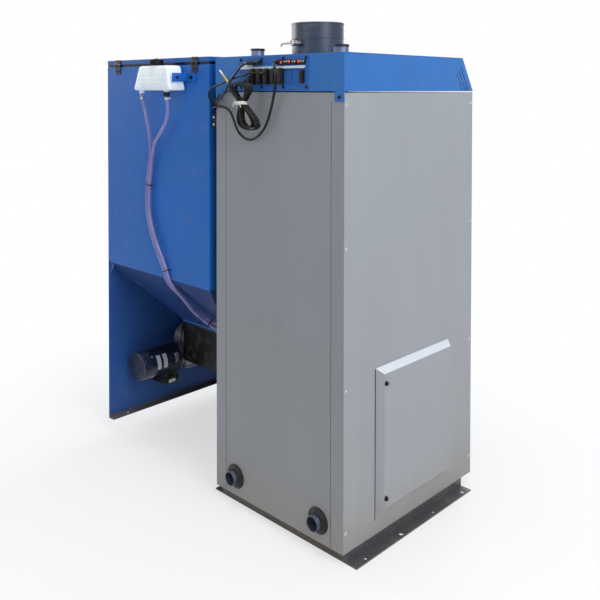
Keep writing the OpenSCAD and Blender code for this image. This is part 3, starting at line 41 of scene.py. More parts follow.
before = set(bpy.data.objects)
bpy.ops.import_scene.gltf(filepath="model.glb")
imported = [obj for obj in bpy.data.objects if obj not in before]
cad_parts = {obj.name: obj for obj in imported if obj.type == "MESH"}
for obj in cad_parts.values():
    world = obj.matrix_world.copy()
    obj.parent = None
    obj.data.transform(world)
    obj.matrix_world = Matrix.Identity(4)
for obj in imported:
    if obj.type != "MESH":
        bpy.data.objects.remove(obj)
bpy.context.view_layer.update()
CASING = Matrix.Translation((-0.555, 0.310, 0.034)) @ Matrix.Diagonal((0.001, 0.001, 0.001, 1))
HOOD_BOTTOM, HOOD_TOP = 1223, 1326
MIDDLE, FRONT = 260, -620   # the middle of the casing's width and the front of its sheets
UP, DOWN, BACK, AHEAD, RIGHT, LEFT = (0, 0, 1), (0, 0, -1), (0, 1, 0), (0, -1, 0), (1, 0, 0), (-1, 0, 0)
ACROSS = Matrix(((0, 0, 1, 0), (1, 0, 0, 0), (0, 1, 0, 0), (0, 0, 0, 1)))
BURNER_Z = 262
MOTOR_X, MOTOR_Z = 1055.5, 212
MOTOR_RADIUS = 52
HATCH_BACK, HATCH_TOP = -134, 462
SCREW_Y = -310
BLOWER_X, BLOWER_Z = 620, 138
TANK_X, TANK_TOP = 769, 1304
CAP_AT = (TANK_X, 46.5, 1305)
VALVE_X = 616
DAMPER_Z = 1363


def linear(*colour):
    """Turns screen values from 0 to 255 into a linear colour."""
    return tuple(c / 3294.6 if c <= 10.31 else ((c / 255 + 0.055) / 1.055) ** 2.4 for c in colour)


def rgb(*colour):
    return (*linear(*colour), 1)


def colour_prop(label, words, *colour):
    return FloatVectorProperty(name=label, description=words, subtype="COLOR", size=3,
                               min=0, max=1, default=linear(*colour))


def length_prop(label, words, millimetres):
    return FloatProperty(name=label, description=words, subtype="DISTANCE", unit="LENGTH",
                         min=0, default=millimetres / 1000)


class BoilerColours(bpy.types.PropertyGroup):
    casing: colour_prop("Casing", "Powder coat of the grey sheets", 158, 163, 170)
    hatch: colour_prop("Hatch cover", "Powder coat of the service hatch cover", 160, 165, 173)
    hood: colour_prop("Hood", "Powder coat of the blue hood", 52, 114, 188)
    plate: colour_prop("Socket plate", "Powder coat of the socket plate", 40, 100, 178)
    hopper: colour_prop("Hopper", "Powder coat of the hopper", 28, 102, 188)
    # the skirt's blue is a darker, greyer copy of the hopper's blue: painted shade inside the skirt
    skirt: colour_prop("Skirt", "Powder coat of the hopper's skirt", 52, 94, 166)
    lid: colour_prop("Lid", "Powder coat of the hopper's lid", 30, 92, 168)
    doors: colour_prop("Doors", "Powder coat of the doors", 44, 96, 170)
    base: colour_prop("Base", "Paint of the steel angles", 76, 77, 81)
    flue: colour_prop("Flue", "Satin paint of the flue spigot", 36, 51, 74)
    motor: colour_prop("Motor", "Paint of the motor", 28, 40, 70)
    black: colour_prop("Black plastic", "Plugs, rosettes and handles", 15, 16, 17)
    rubber: colour_prop("Cable rubber", "Sheath of the cables", 8, 8, 10)
    hose: colour_prop("Water hose", "Tinted clear hose", 158, 152, 214)
    tank: colour_prop("Water tank", "Milky plastic of the tank", 236, 243, 250)
    lamp: colour_prop("Lamp", "Lens of the indicator lamps", 226, 34, 22)


class BoilerSizes(bpy.types.PropertyGroup):
    power_cable: length_prop("Power cable", "Diameter of the power cable", 7.5)
    loom_cable: length_prop("Loom cable", "Diameter of each cable in the loom", 6)
    sensor_cable: length_prop("Sensor cable", "Diameter of the sensor cable", 4.4)
    motor_cable: length_prop("Motor cable", "Diameter of the motor's cable", 5)
    water_hose: length_prop("Water hose", "Outside diameter of the water hoses", 11)
    screw_head: length_prop("Screw head", "Diameter of the white pan heads", 9)
    edge: length_prop("Sheet edge", "Radius that the sheet metal's edges show", 1.3)
    hank_turns: IntProperty(name="Hank", description="Loops on each side of the sensor cable's hank",
                            min=2, max=5, default=4)


def colour(name):
    """A colour of the panel, as a shader takes it."""
    return (*getattr(bpy.context.scene.boiler_colours, name), 1)


def size(name):
    """A size in millimetres."""
    return getattr(bpy.context.scene.boiler_sizes, name) * 1000


# Finishes

class Link:
    """A shader value that can be used in sums."""

    def __init__(self, finish, socket):
        self.finish, self.socket = finish, socket

    def sum(self, kind, *values):
        return self.finish.node("Math", {"operation": kind}, dict(enumerate(values)))

    def __add__(self, other):
        return self.sum("ADD", self, other)

    def __sub__(self, other):
        return self.sum("SUBTRACT", self, other)

    def __rsub__(self, other):
        return self.sum("SUBTRACT", other, self)

    def __mul__(self, other):
        return self.sum("MULTIPLY", self, other)

    __radd__ = __add__

    def above(self, low, high):
        """0 below the low value, 1 above the high one, and smooth between them."""
        return self.finish.node("MapRange", {"interpolation_type": "SMOOTHSTEP"},
                                {"Value": self, "From Min": low, "From Max": high})


class Finish:
    """One material, made for a slot of the record."""

    def __init__(self, name, slot, **constants):
        self.slot = slot
        self.material = bpy.data.materials.new(name)
        self.material.use_nodes = True
        self.tree = self.material.node_tree
        self.tree.nodes.clear()
        self.shader = self.tree.nodes.new("ShaderNodeBsdfPrincipled")
        self.output = self.tree.nodes.new("ShaderNodeOutputMaterial")
        self.tree.links.new(self.shader.outputs[0], self.output.inputs[0])
        self.place = self.node("TexCoord", output="Object")
        self.set(**constants)

    def node(self, kind, settings=None, inputs=None, output=0):
        made = self.tree.nodes.new("ShaderNode" + kind)
        for key, value in (settings or {}).items():
            if key == "stops":
                while len(made.color_ramp.elements) < len(value):
                    made.color_ramp.elements.new(1)
                for stop, (spot, shade) in zip(made.color_ramp.elements, value):
                    stop.position, stop.color = spot, shade
            else:
                setattr(made, key, value)
        for key, value in (inputs or {}).items():
            self.feed(made.inputs[key], value)
        return Link(self, made.outputs[output])

    def feed(self, socket, value):
        if isinstance(value, Link):
            self.tree.links.new(value.socket, socket)
        else:
            socket.default_value = value

    def set(self, **values):
        for key, value in values.items():
            self.feed(self.shader.inputs[key.replace("_", " ")], value)

    def noise(self, scale, detail=2, rough=0.5, stretch=None):
        spot = self.place if stretch is None else self.node(
            "VectorMath", {"operation": "MULTIPLY"}, {0: self.place, 1: stretch})
        return self.node("TexNoise", {}, {"Vector": spot, "Scale": scale, "Detail": detail,
                                                    "Roughness": rough})

    def cells(self, scale, kind="F1"):
        return self.node("TexVoronoi", {"feature": kind}, {"Vector": self.place, "Scale": scale}, "Distance")

    def tint(self, amount, first, second):
        return self.node("Mix", {"data_type": "RGBA"}, {0: amount, 6: first, 7: second}, 2)

    def along(self, axis):
        """The place along one axis, in metres."""
        return self.node("SeparateXYZ", {}, {0: self.place}, axis)

    def facing(self, axis):
        """How far the surface faces along one axis."""
        normal = self.node("NewGeometry", {}, {}, "Normal")
        return self.node("SeparateXYZ", {}, {0: normal}, axis)

    def soft_edge(self, radius):
        """A normal that runs round the edges, and how far it leaves the flat one."""
        normal = self.node("Bevel", {"samples": 6}, {"Radius": radius})
        flat = self.node("NewGeometry", {}, {}, "Normal")
        along = self.node("VectorMath", {"operation": "DOT_PRODUCT"}, {0: normal, 1: flat}, "Value")
        return normal, 1 - along

    def relief(self, height, depth, normal=None, strength=1):
        """Bumps of the depth, in metres, on the flat or on the edge's normal."""
        parts = {"Height": height, "Distance": depth, "Strength": strength}
        if normal is not None:
            parts["Normal"] = normal
        self.set(Normal=self.node("Bump", {}, parts))
        return self


def shade(colour_value, by):
    """A darker or lighter tone of a colour."""
    return (*[min(1, max(0, c * by)) for c in colour_value[:3]], 1)


MADE = {}   # finishes already made, by maker and words


def once(maker):
    """Makes a finish the first time that it is asked for."""
    def finish(*words):
        key = (maker.__name__, *words)
        if key not in MADE:
            MADE[key] = maker(*words)
        return MADE[key]
    return finish


@once
def powder_coat(slot, name):
    """Baked powder: fine orange peel, faint upright streaks, handling smudges, paler edges and painted shade
    on faces that look down.
    """
    base = colour(name)
    f = Finish("powder_" + name, slot, Specular_IOR_Level=0.25)
    cloud = f.noise(2.6, 4, 0.6)
    streak = f.noise(9, 3, 0.6, (1, 1, 0.07))
    smudge = f.noise(14, 5, 0.65).above(0.55, 0.78)
    peel = f.noise(620, 1, 0.4)
    normal, edge = f.soft_edge(size("edge") / 1000)
    dark = f.tint(cloud.above(0.3, 0.7) * 0.6 + streak.above(0.35, 0.7) * 0.4, shade(base, 0.93),
        shade(base, 1.05))
    # painted shade: faces that look down are tinted dark blue
    under = 1 - f.facing("Z").above(-0.5, -0.2)
    painted_shade_and_floor_light = f.tint(under, dark, rgb(34, 60, 116))
    if name == "skirt":   # painted reflection of the floor: its bottom flange is tinted grey
        painted_shade_and_floor_light = f.tint(1 - f.along("Z").above(0.063, 0.065), painted_shade_and_floor_light, rgb(112, 108, 114))
    soiled = f.tint(smudge * 0.16, painted_shade_and_floor_light, (0.30, 0.29, 0.27, 1))
    f.set(Base_Color=f.tint(edge.above(0.02, 0.5) * 0.35, soiled, shade(base, 1.5)),
          Roughness=0.36 + smudge * 0.14 + cloud * 0.08)
    return f.relief(peel + f.noise(90, 1, 0.4) * 1.2, 0.00007, normal)


@once
def casing_coat(slot, name):
    """Grey powder coat that is a little duller close to the floor, with a painted warm reflection of the
    floor there, painted shade on the back sheet and a painted highlight on faces that look up.
    """
    base = colour(name)
    f = Finish("casing_" + name, slot, Specular_IOR_Level=0.4)
    # masks for painted light: the floor's warm reflection low down, and a highlight on faces that look up
    low = 1 - f.along("Z").above(0.05, 0.9)
    glow = 1 - f.along("Z").above(0.03, 0.2)
    up = f.facing("Z").above(0.4, 0.6)
    cloud = f.noise(2.2, 4, 0.6)
    streak = f.noise(11, 3, 0.6, (1, 1, 0.05))
    smudge = f.noise(17, 6, 0.66).above(0.57, 0.8)
    speck = f.cells(170).above(0.02, 0.09)
    normal, edge = f.soft_edge(size("edge") / 1000)
    toned = f.tint(cloud.above(0.3, 0.7) * 0.5 + streak.above(0.35, 0.7) * 0.5, shade(base, 0.95),
        shade(base, 1.04))
    behind = f.along("Y").above(0.3078, 0.3088)   # painted shade: the back sheet is tinted darker than the sides
    body = f.tint(behind * 0.22, toned, (0.02, 0.02, 0.022, 1))
    # painted warm reflection of the floor, strongest at the bottom edge
    warm = f.tint(low * 0.2 + glow * 0.5, body, (base[0] * 0.9, base[1] * 0.78, base[2] * 0.64, 1))
    soiled = f.tint(smudge * 0.14, warm, shade(base, 0.55))
    dusty = f.tint((1 - speck) * low * 0.25, soiled, shade(base, 0.5))
    # painted highlight: faces that look up are tinted much lighter
    f.set(Base_Color=f.tint(up * 0.85, f.tint(edge.above(0.02, 0.5) * 0.4, dusty, shade(base, 1.45)),
        shade(base, 2.3)), Roughness=0.42 + smudge * 0.15 + cloud * 0.08)
    return f.relief(f.noise(700, 1, 0.4) + f.noise(6, 2, 0.4) * 5, 0.00006, normal)


@once
def hammered_paint(slot, name):
    """Hammered paint on rolled steel: blistered, dusty in its hollows, rubbed at its edges, with painted
    shade on the faces that look back.
    """
    base = colour(name)
    f = Finish("hammered_" + name, slot, Specular_IOR_Level=0.5)
    pock = f.cells(260, "SMOOTH_F1")
    dust = f.noise(7, 5, 0.65).above(0.42, 0.72)
    normal, edge = f.soft_edge(0.0016)
    rub = edge.above(0.05, 0.4) * f.noise(60, 4, 0.7).above(0.35, 0.6)
    # painted shade: faces that look back are tinted near black
    back_face_shade = f.facing("Y").above(0.4, 0.6)
    paint = f.tint(back_face_shade * 0.7, f.tint(pock.above(0.1, 0.6), shade(base, 0.72), shade(base, 1.2)),
        (0.06, 0.042, 0.028, 1))
    f.set(Base_Color=f.tint(rub * 0.5, f.tint(dust * 0.35, paint, (0.21, 0.19, 0.165, 1)),
        (0.36, 0.34, 0.32, 1)), Roughness=0.38 + dust * 0.25, Metallic=rub * 0.6)
    return f.relief(pock + f.noise(40, 3, 0.5) * 0.4, 0.0005, normal, 0.7)


@once
def satin_paint(slot, name):
    """Brushed or sprayed satin paint with fine dust and a few pale scuffs."""
    base = colour(name)
    f = Finish("satin_" + name, slot, Specular_IOR_Level=0.5)
    dust = f.noise(22, 5, 0.6).above(0.5, 0.8)
    scuff = f.noise(70, 4, 0.75, (1, 0.25, 1)).above(0.66, 0.74)
    normal, edge = f.soft_edge(0.0012)
    body = f.tint(f.noise(5, 3, 0.6).above(0.3, 0.7), shade(base, 0.88), shade(base, 1.1))
    f.set(Base_Color=f.tint(edge.above(0.04, 0.5) * 0.45 + scuff * 0.25, f.tint(dust * 0.2, body,
        (0.3, 0.3, 0.3, 1)), shade(base, 2.2)), Roughness=0.33 + dust * 0.25)
    return f.relief(f.noise(480, 2, 0.5) + dust * 0.4, 0.00009, normal)


@once
def black_paint(slot, tone):
    """Black paint on fabricated steel, a little glossy and dusty on top."""
    base = rgb(tone, tone, tone + 2)
    f = Finish(f"black_paint_{tone}", slot, Specular_IOR_Level=0.3)
    dust = f.noise(18, 5, 0.65).above(0.45, 0.8)
    normal, edge = f.soft_edge(0.0014)
    f.set(Base_Color=f.tint(edge.above(0.05, 0.4) * 0.35, f.tint(dust * 0.3, base, (0.16, 0.15, 0.14, 1)),
                            (0.2, 0.2, 0.21, 1)),
          Roughness=0.34 + dust * 0.35)
    return f.relief(f.noise(420, 2, 0.5) + f.noise(50, 2, 0.5), 0.00012, normal)


@once
def plain_plastic(slot, name):
    """Moulded plastic with a fine spark texture and faint flow marks."""
    base = colour(name)
    f = Finish("plastic_" + name, slot, Specular_IOR_Level=0.3)
    flow = f.noise(30, 3, 0.5)
    grain = f.noise(1500, 2, 0.6)
    normal, edge = f.soft_edge(0.0007)
    f.set(Base_Color=f.tint(edge.above(0.05, 0.5) * 0.3 + flow * 0.1, base, shade(base, 2.4)),
          Roughness=0.38 + flow * 0.16 + grain * 0.05)
    return f.relief(grain + flow * 0.4, 0.00006, normal)


@once
def cable_sheath(slot, name):
    """Soft sheath: slightly glossy, with dust and the ripple of the cores under it."""
    base = colour(name)
    f = Finish("sheath_" + name, slot, Specular_IOR_Level=0.24)
    dust = f.noise(35, 4, 0.6).above(0.45, 0.75)
    f.set(Base_Color=f.tint(dust * 0.05, base, (0.22, 0.21, 0.2, 1)), Roughness=0.22 + dust * 0.2)
    return f.relief(f.noise(240, 2, 0.5), 0.00015)


@once
def bare_metal(slot, name, red, green, blue, rough):
    """Turned or ground metal with fine tool lines, finger marks and dull patches."""
    base = rgb(red, green, blue)
    f = Finish("metal_" + name, slot, Metallic=1)
    line = f.noise(900, 2, 0.6, (1, 1, 0.12))
    dull = f.noise(28, 5, 0.65).above(0.42, 0.72)
    normal, edge = f.soft_edge(0.0006)
    f.set(Base_Color=f.tint(dull * 0.4, f.tint(edge.above(0.05, 0.5) * 0.3, base, shade(base, 1.5)),
        shade(base, 0.6)), Roughness=rough + dull * 0.18 + line * 0.08)
    return f.relief(line + dull * 0.5, 0.00005, normal)


@once
def zinc_plate():
    """Bright zinc plate with a faint yellow cast in patches."""
    f = Finish("zinc_plate", "zinc", Metallic=1)
    patch = f.cells(85)
    cloud = f.noise(40, 4, 0.6)
    normal = f.soft_edge(0.0006)[0]
    f.set(Base_Color=f.tint(cloud.above(0.35, 0.65) * 0.5 + patch * 0.4, rgb(205, 208, 212),
                            rgb(178, 172, 150)),
          Roughness=0.26 + cloud * 0.16)
    return f.relief(f.noise(600, 2, 0.5), 0.00005, normal)


@once
def cast_aluminium():
    """Die-cast aluminium: grainy skin, darker in its hollows, brighter at machined edges."""
    f = Finish("cast_aluminium", "cast_aluminium", Metallic=0.85)
    skin = f.noise(330, 3, 0.6)
    cloud = f.noise(16, 4, 0.6)
    normal, edge = f.soft_edge(0.0018)
    body = f.tint(cloud.above(0.3, 0.7), rgb(128, 130, 133), rgb(172, 174, 178))
    f.set(Base_Color=f.tint(edge.above(0.04, 0.45) * 0.6, body, rgb(226, 228, 230)),
          Roughness=0.38 + skin * 0.14 + cloud * 0.06)
    return f.relief(skin + cloud * 0.6, 0.00028, normal)


@once
def raw_plate(slot, name, red, green, blue):
    """Hot rolled plate with mill scale and a bloom of rust along its edges."""
    base = rgb(red, green, blue)
    f = Finish("plate_" + name, slot, Metallic=0.5)
    scale = f.noise(12, 6, 0.65).above(0.35, 0.7)
    rust = f.noise(26, 5, 0.7).above(0.6, 0.78)
    normal = f.soft_edge(0.002)[0]
    f.set(Base_Color=f.tint(rust * 0.5, f.tint(scale * 0.6, base, shade(base, 1.7)), rgb(112, 70, 44)),
          Roughness=0.5 + rust * 0.25 + scale * 0.05)
    return f.relief(f.noise(180, 4, 0.6) + scale, 0.0002, normal)


@once
def burnt_steel(slot):
    """Burner steel with straw, violet and blue heat tints along its length."""
    f = Finish("burnt_steel", slot, Metallic=0.9)
    along = f.along("X")
    warm = along * 3.4 + 1.32 + f.noise(9, 4, 0.6) * 0.3
    tints = f.node("ValToRGB", {"stops": [(0.0, rgb(70, 62, 58)), (0.3, rgb(66, 70, 96)),
                                                    (0.5, rgb(112, 78, 92)), (0.7, rgb(168, 136, 88)),
                                                    (1.0, rgb(150, 150, 150))]}, {"Fac": warm})
    soot = f.noise(20, 5, 0.65).above(0.45, 0.7)
    f.set(Base_Color=f.tint(soot * 0.5, tints, (0.015, 0.014, 0.013, 1)), Roughness=0.36 + soot * 0.4)
    return f.relief(f.noise(300, 3, 0.6), 0.00012, f.soft_edge(0.0012)[0])


@once
def wool(slot):
    """Mineral wool: loose crossing fibres, clumps and darker binder spots."""
    f = Finish("mineral_wool", slot, Sheen_Weight=0.4)
    strands = f.noise(260, 6, 0.8, (1, 1, 0.25)) + f.noise(240, 6, 0.8, (0.25, 1, 1))
    clump = f.noise(26, 5, 0.6)
    f.set(Base_Color=f.tint(strands.above(0.7, 1.3) * 0.7 + clump * 0.3, rgb(148, 126, 74),
                            rgb(214, 196, 142)), Roughness=0.92)
    return f.relief(strands * 0.6 + clump * 2, 0.0022)


@once
def lining_board(slot):
    """Pressed insulating board, chalky, with pits and soot in patches."""
    f = Finish("lining_board", slot)
    pits = f.cells(300).above(0.05, 0.3)
    soot = f.noise(9, 5, 0.6).above(0.45, 0.75)
    body = f.tint(pits, rgb(168, 160, 144), rgb(214, 207, 192))
    f.set(Base_Color=f.tint(soot * 0.35, body, rgb(88, 80, 72)), Roughness=0.9)
    return f.relief(pits + f.noise(60, 4, 0.6), 0.0005, f.soft_edge(0.002)[0])


@once
def milky_plastic():
    """Blow-moulded polyethylene: milky, waxy and faintly uneven, with a faint painted glow."""
    base = colour("tank")
    # a faint pale blue emission paints a glow of light in the plastic
    f = Finish("milky_plastic", "tank_plastic", Subsurface_Weight=0.35, Subsurface_Scale=0.012, IOR=1.5,
               Transmission_Weight=0.08, Emission_Color=(0.8, 0.9, 1, 1), Emission_Strength=0.12)
    cloud = f.noise(24, 4, 0.6)
    low = 1 - f.along("Z").above(1.262, 1.292)
    f.set(Base_Color=f.tint(cloud.above(0.35, 0.7) * 0.35 + low * 0.35, base, rgb(196, 210, 224)),
          Roughness=0.33 + cloud * 0.14)
    return f.relief(f.noise(70, 3, 0.5) + f.noise(700, 1, 0.5) * 0.2, 0.0005, f.soft_edge(0.001)[0])


@once
def clear_hose(slot):
    """Tinted see-through hose, a little cloudy, with a wetter stretch in places."""
    base = colour("hose")
    f = Finish("clear_hose", slot, Coat_Roughness=0.1, IOR=1.42, Transmission_Weight=0.25)
    wet = f.noise(16, 3, 0.5).above(0.42, 0.6)
    f.set(Base_Color=f.tint(wet * 0.7, base, shade(base, 0.72)), Roughness=0.16 + wet * 0.08,
          Coat_Weight=0.6 + wet * 0.3, Alpha=0.62 + wet * 0.12)
    return f.relief(f.noise(240, 2, 0.5), 0.0001)


@once
def lamp_lens(slot):
    """Red lens with a fine facet pattern and its lamp's glow behind it."""
    base = colour("lamp")
    f = Finish("lamp_lens", slot, Emission_Strength=0.35, Coat_Weight=0.8, Coat_Roughness=0.08)
    facet = f.cells(900)
    f.set(Base_Color=f.tint(facet, base, shade(base, 0.5)),
        Emission_Color=f.tint(facet, base, shade(base, 0.3)), Roughness=0.2 + facet * 0.2)
    return f.relief(facet, 0.0002)


@once
def display_glass(slot):
    """Grey-green liquid crystal behind glass, with a faint dot raster."""
    f = Finish("display_glass", slot, Coat_Weight=1, Coat_Roughness=0.05)
    dots = f.cells(1400).above(0.2, 0.5)
    f.set(Base_Color=f.tint(dots * 0.4 + f.noise(12, 2, 0.5) * 0.2, rgb(98, 128, 138),
                            rgb(66, 92, 104)), Roughness=0.22 + dots * 0.05)
    return f.relief(dots, 0.00002)


@once
def pale_plate(slot, name, red, green, blue):
    """Blank plate or foil in a pale tone, printed with nothing."""
    base = rgb(red, green, blue)
    f = Finish("plate_" + name, slot, Specular_IOR_Level=0.5)
    wear = f.noise(60, 5, 0.65).above(0.5, 0.75)
    f.set(Base_Color=f.tint(wear * 0.4, base, shade(base, 0.7)), Roughness=0.3 + wear * 0.3)
    return f.relief(f.noise(300, 2, 0.5), 0.00008)


def grey(name="casing"):
    return casing_coat("grey_panel", name)


def blackened():
    return bare_metal("black_screw", "blackened", 46, 46, 50, 0.36)


def brass():
    return bare_metal("brass_valve", "brass", 196, 160, 92, 0.3)


def dark_paint():
    return black_paint("black_paint", 34)


def soft_black():
    return plain_plastic("black_plastic", "rubber")


def print_white():
    return pale_plate("white_screw", "mark", 222, 226, 230)


def blank_label():
    return pale_plate("white_screw", "label", 226, 229, 230)


def black():
    return plain_plastic("black_plastic", "black")


def steel():
    return bare_metal("bare_steel", "steel", 186, 190, 196, 0.28)


def coat(finish, *nodes):
    """Gives a finish to frame nodes whose shape is right as it is."""
    for name in nodes:
        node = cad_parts[name]
        node.data.materials.clear()
        node.data.materials.append(finish.material)


# Shapes

def facing(direction):
    """A turn that points the z axis along the direction."""
    return Vector(UP).rotation_difference(Vector(direction)).to_matrix().to_4x4()


def spun(at, angle, axis="Z"):
    """A place turned about one axis."""
    return Matrix.Translation(at) @ Matrix.Rotation(angle, 4, axis)


def round_circle(count, shift=0.5):
    """Angles spread evenly over a circle."""
    return [math.tau * (k + shift) / count for k in range(count)]


def disc(radius, thick):
    return [(0, 0), (radius, 0), (radius, thick), (0, thick)]


def head(radius, side, top_radius, top, peak=None):
    """A disc with a sloping edge, as on a screw."""
    return [(0, 0), (radius, 0), (radius, side), (top_radius, top), (0, top if peak is None else peak)]


def washer(bore, radius, thick):
    return [(bore, 0), (radius, 0), (radius, thick), (bore, thick)]


def collar(bore, radius, side, top_radius, top):
    """A washer with a sloping edge."""
    return [(bore, 0), (radius, 0), (radius, side), (top_radius, top), (bore, top)]


def curve_through(points, steps=5):
    """Centripetal curve through the points, sampled closely."""
    spots = [Vector(p) for p in points]
    spots = [spots[0] * 2 - spots[1], *spots, spots[-1] * 2 - spots[-2]]
    line = []
    for a, b, c, d in zip(spots, spots[1:], spots[2:], spots[3:]):
        t1 = (b - a).length ** 0.5
        t2 = t1 + (c - b).length ** 0.5
        t3 = t2 + (d - c).length ** 0.5
        for k in range(steps):
            t = t1 + (t2 - t1) * k / steps
            p = a * ((t1 - t) / t1) + b * (t / t1)
            q = b * ((t2 - t) / (t2 - t1)) + c * ((t - t1) / (t2 - t1))
            r = c * ((t3 - t) / (t3 - t2)) + d * ((t - t2) / (t3 - t2))
            near = p * ((t2 - t) / t2) + q * (t / t2)
            far = q * ((t3 - t) / (t3 - t1)) + r * ((t - t1) / (t3 - t1))
            line.append(near * ((t2 - t) / (t2 - t1)) + far * ((t - t1) / (t2 - t1)))
    return line + [spots[-2]]


class Shape:
    """One piece, gathered in millimetres in the casing's own frame."""

    def __init__(self):
        self.mesh = bmesh.new()

    def face(self, corners):
        corners = list(dict.fromkeys(corners))
        if len(corners) > 2:
            self.mesh.faces.new(corners)

    def turned(self, profile, at, sides=48, along=UP, closed=False):
        """A profile of (radius, distance) turned about a line."""
        place = Matrix.Translation(at) @ facing(along)
        rows = []
        for radius, reach in profile:
            turns = round_circle(sides, 0) if radius > 1e-6 else [0]
            spots = [place @ Vector((radius * math.cos(a), radius * math.sin(a), reach)) for a in turns]
            rows.append([self.mesh.verts.new(p) for p in spots])
        for low, high in zip(rows, rows[1:] + rows[:1] if closed else rows[1:]):
            for k in range(sides):
                n = k + 1
                self.face([low[k % len(low)], low[n % len(low)], high[n % len(high)], high[k % len(high)]])
        if not closed:
            self.face(rows[0])
            self.face(rows[-1])
        return self

    def ring(self, profile, at, sides, along=UP):
        """A turned profile that closes on itself round a bore."""
        return self.turned(profile, at, sides, along, closed=True)

    def rounded(self, verts, radius, steps=2):
        if radius:
            edges = {e for v in verts for e in v.link_edges}
            bmesh.ops.bevel(self.mesh, geom=list(edges), offset=radius, segments=steps, profile=0.5,
                            affect="EDGES", clamp_overlap=True)
        return self

    def block(self, low, high, radius=0, place=None, steps=2):
        """A box from its lowest to its highest corner, with its edges rounded."""
        low, high = Vector(low), Vector(high)
        verts = bmesh.ops.create_cube(self.mesh, size=1)["verts"]
        for v in verts:
            v.co = Vector([a + (t + 0.5) * (b - a) for a, b, t in zip(low, high, v.co)])
            if place is not None:
                v.co = place @ v.co
        return self.rounded(verts, radius, steps)

    def prism(self, outline, depth, place, radius=0, steps=2):
        """A flat outline raised by the depth, with its edges rounded."""
        rows = [[self.mesh.verts.new(place @ Vector((x, y, z))) for x, y in outline] for z in (0, depth)]
        self.mesh.faces.new(rows[0][::-1])
        self.mesh.faces.new(rows[1])
        for k in range(len(outline)):
            n = (k + 1) % len(outline)
            self.face([rows[0][k], rows[0][n], rows[1][n], rows[1][k]])
        return self.rounded(rows[0] + rows[1], radius, steps)

    def tube(self, points, radius, sides=12):
        """A round bar along points; the radius is a number or one for each point."""
        spots = [Vector(p) for p in points]
        radii = radius if isinstance(radius, (list, tuple)) else [radius] * len(spots)
        side, rows = None, []
        for k, spot in enumerate(spots):
            ahead = (spots[min(k + 1, len(spots) - 1)] - spots[max(k - 1, 0)]).normalized()
            side = ahead.orthogonal() if side is None else side - ahead * side.dot(ahead)
            side.normalize()
            up = ahead.cross(side)
            rows.append([self.mesh.verts.new(spot + radii[k] * (
                side * math.cos(math.tau * j / sides) + up * math.sin(math.tau * j / sides)))
                for j in range(sides)])
        for low, high in zip(rows, rows[1:]):
            for j in range(sides):
                n = (j + 1) % sides
                self.face([low[j], low[n], high[n], high[j]])
        self.face(rows[0][::-1])
        self.face(rows[-1])
        return self

    def outline(self, corners, radius):
        """Round bars along the sides of a closed outline."""
        spots = [Vector(p) for p in corners]
        for a, b in zip(spots, spots[1:] + spots[:1]):
            self.tube([a, (a + b) / 2, b], radius, 8)
        return self

    def hexagon(self, at, across, thick, along=UP, bore=0):
        """A chamfered hexagon, such as a nut or a bolt's head."""
        r = across / 2 / math.cos(math.pi / 6)
        c = across * 0.06
        profile = [(r - c, 0), (r, c), (r, thick - c), (r - c, thick)]
        if bore:
            return self.ring([(bore, 0), *profile, (bore, thick)], at, 6, along)
        return self.turned([(0, 0), *profile, (0, thick)], at, 6, along)

    def piece(self, name, finish, body="casing", replaced=(), angle=32):
        """Turns the shape into an object in metres; edges above the angle stay sharp."""
        bmesh.ops.recalc_face_normals(self.mesh, faces=self.mesh.faces)
        self.mesh.transform(CASING)
        data = bpy.data.meshes.new(name)
        for face in self.mesh.faces:
            face.smooth = True
        self.mesh.to_mesh(data)
        self.mesh.free()
        data.set_sharp_from_angle(angle=math.radians(angle))
        return placed(bpy.data.objects.new(name, data), finish, body, replaced)


def placed(obj, finish, body, replaced=()):
    """Puts an object into the scene, on its body, with its finish's material."""
    obj.data.materials.append(finish.material)
    bpy.context.scene.collection.objects.link(obj)
    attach(obj, body)
    if replaced:
        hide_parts(*replaced)
    return obj


def lay_cord(name, route, width, finish, replaced, pieces,
             steps=5):
    """A cord on one open spline through the route; the pieces argument is not used."""
    line = [CASING @ p for p in curve_through(route, steps)]
    data = bpy.data.curves.new(name, "CURVE")
    data.dimensions = "3D"
    data.bevel_depth = width / 2000
    data.bevel_resolution = 3
    data.use_fill_caps = True
    spline = data.splines.new("POLY")
    spline.points.add(len(line) - 1)
    for spot, p in zip(spline.points, line):
        spot.co = (*p, 1)
    obj = placed(bpy.data.objects.new(name, data), finish, "casing", replaced)
    length = sum((b - a).length for a, b in zip(line, line[1:]))
    width / 1000


class BoilerStep:
    """What the steps of the boiler have in common."""
    bl_options = {"REGISTER"}


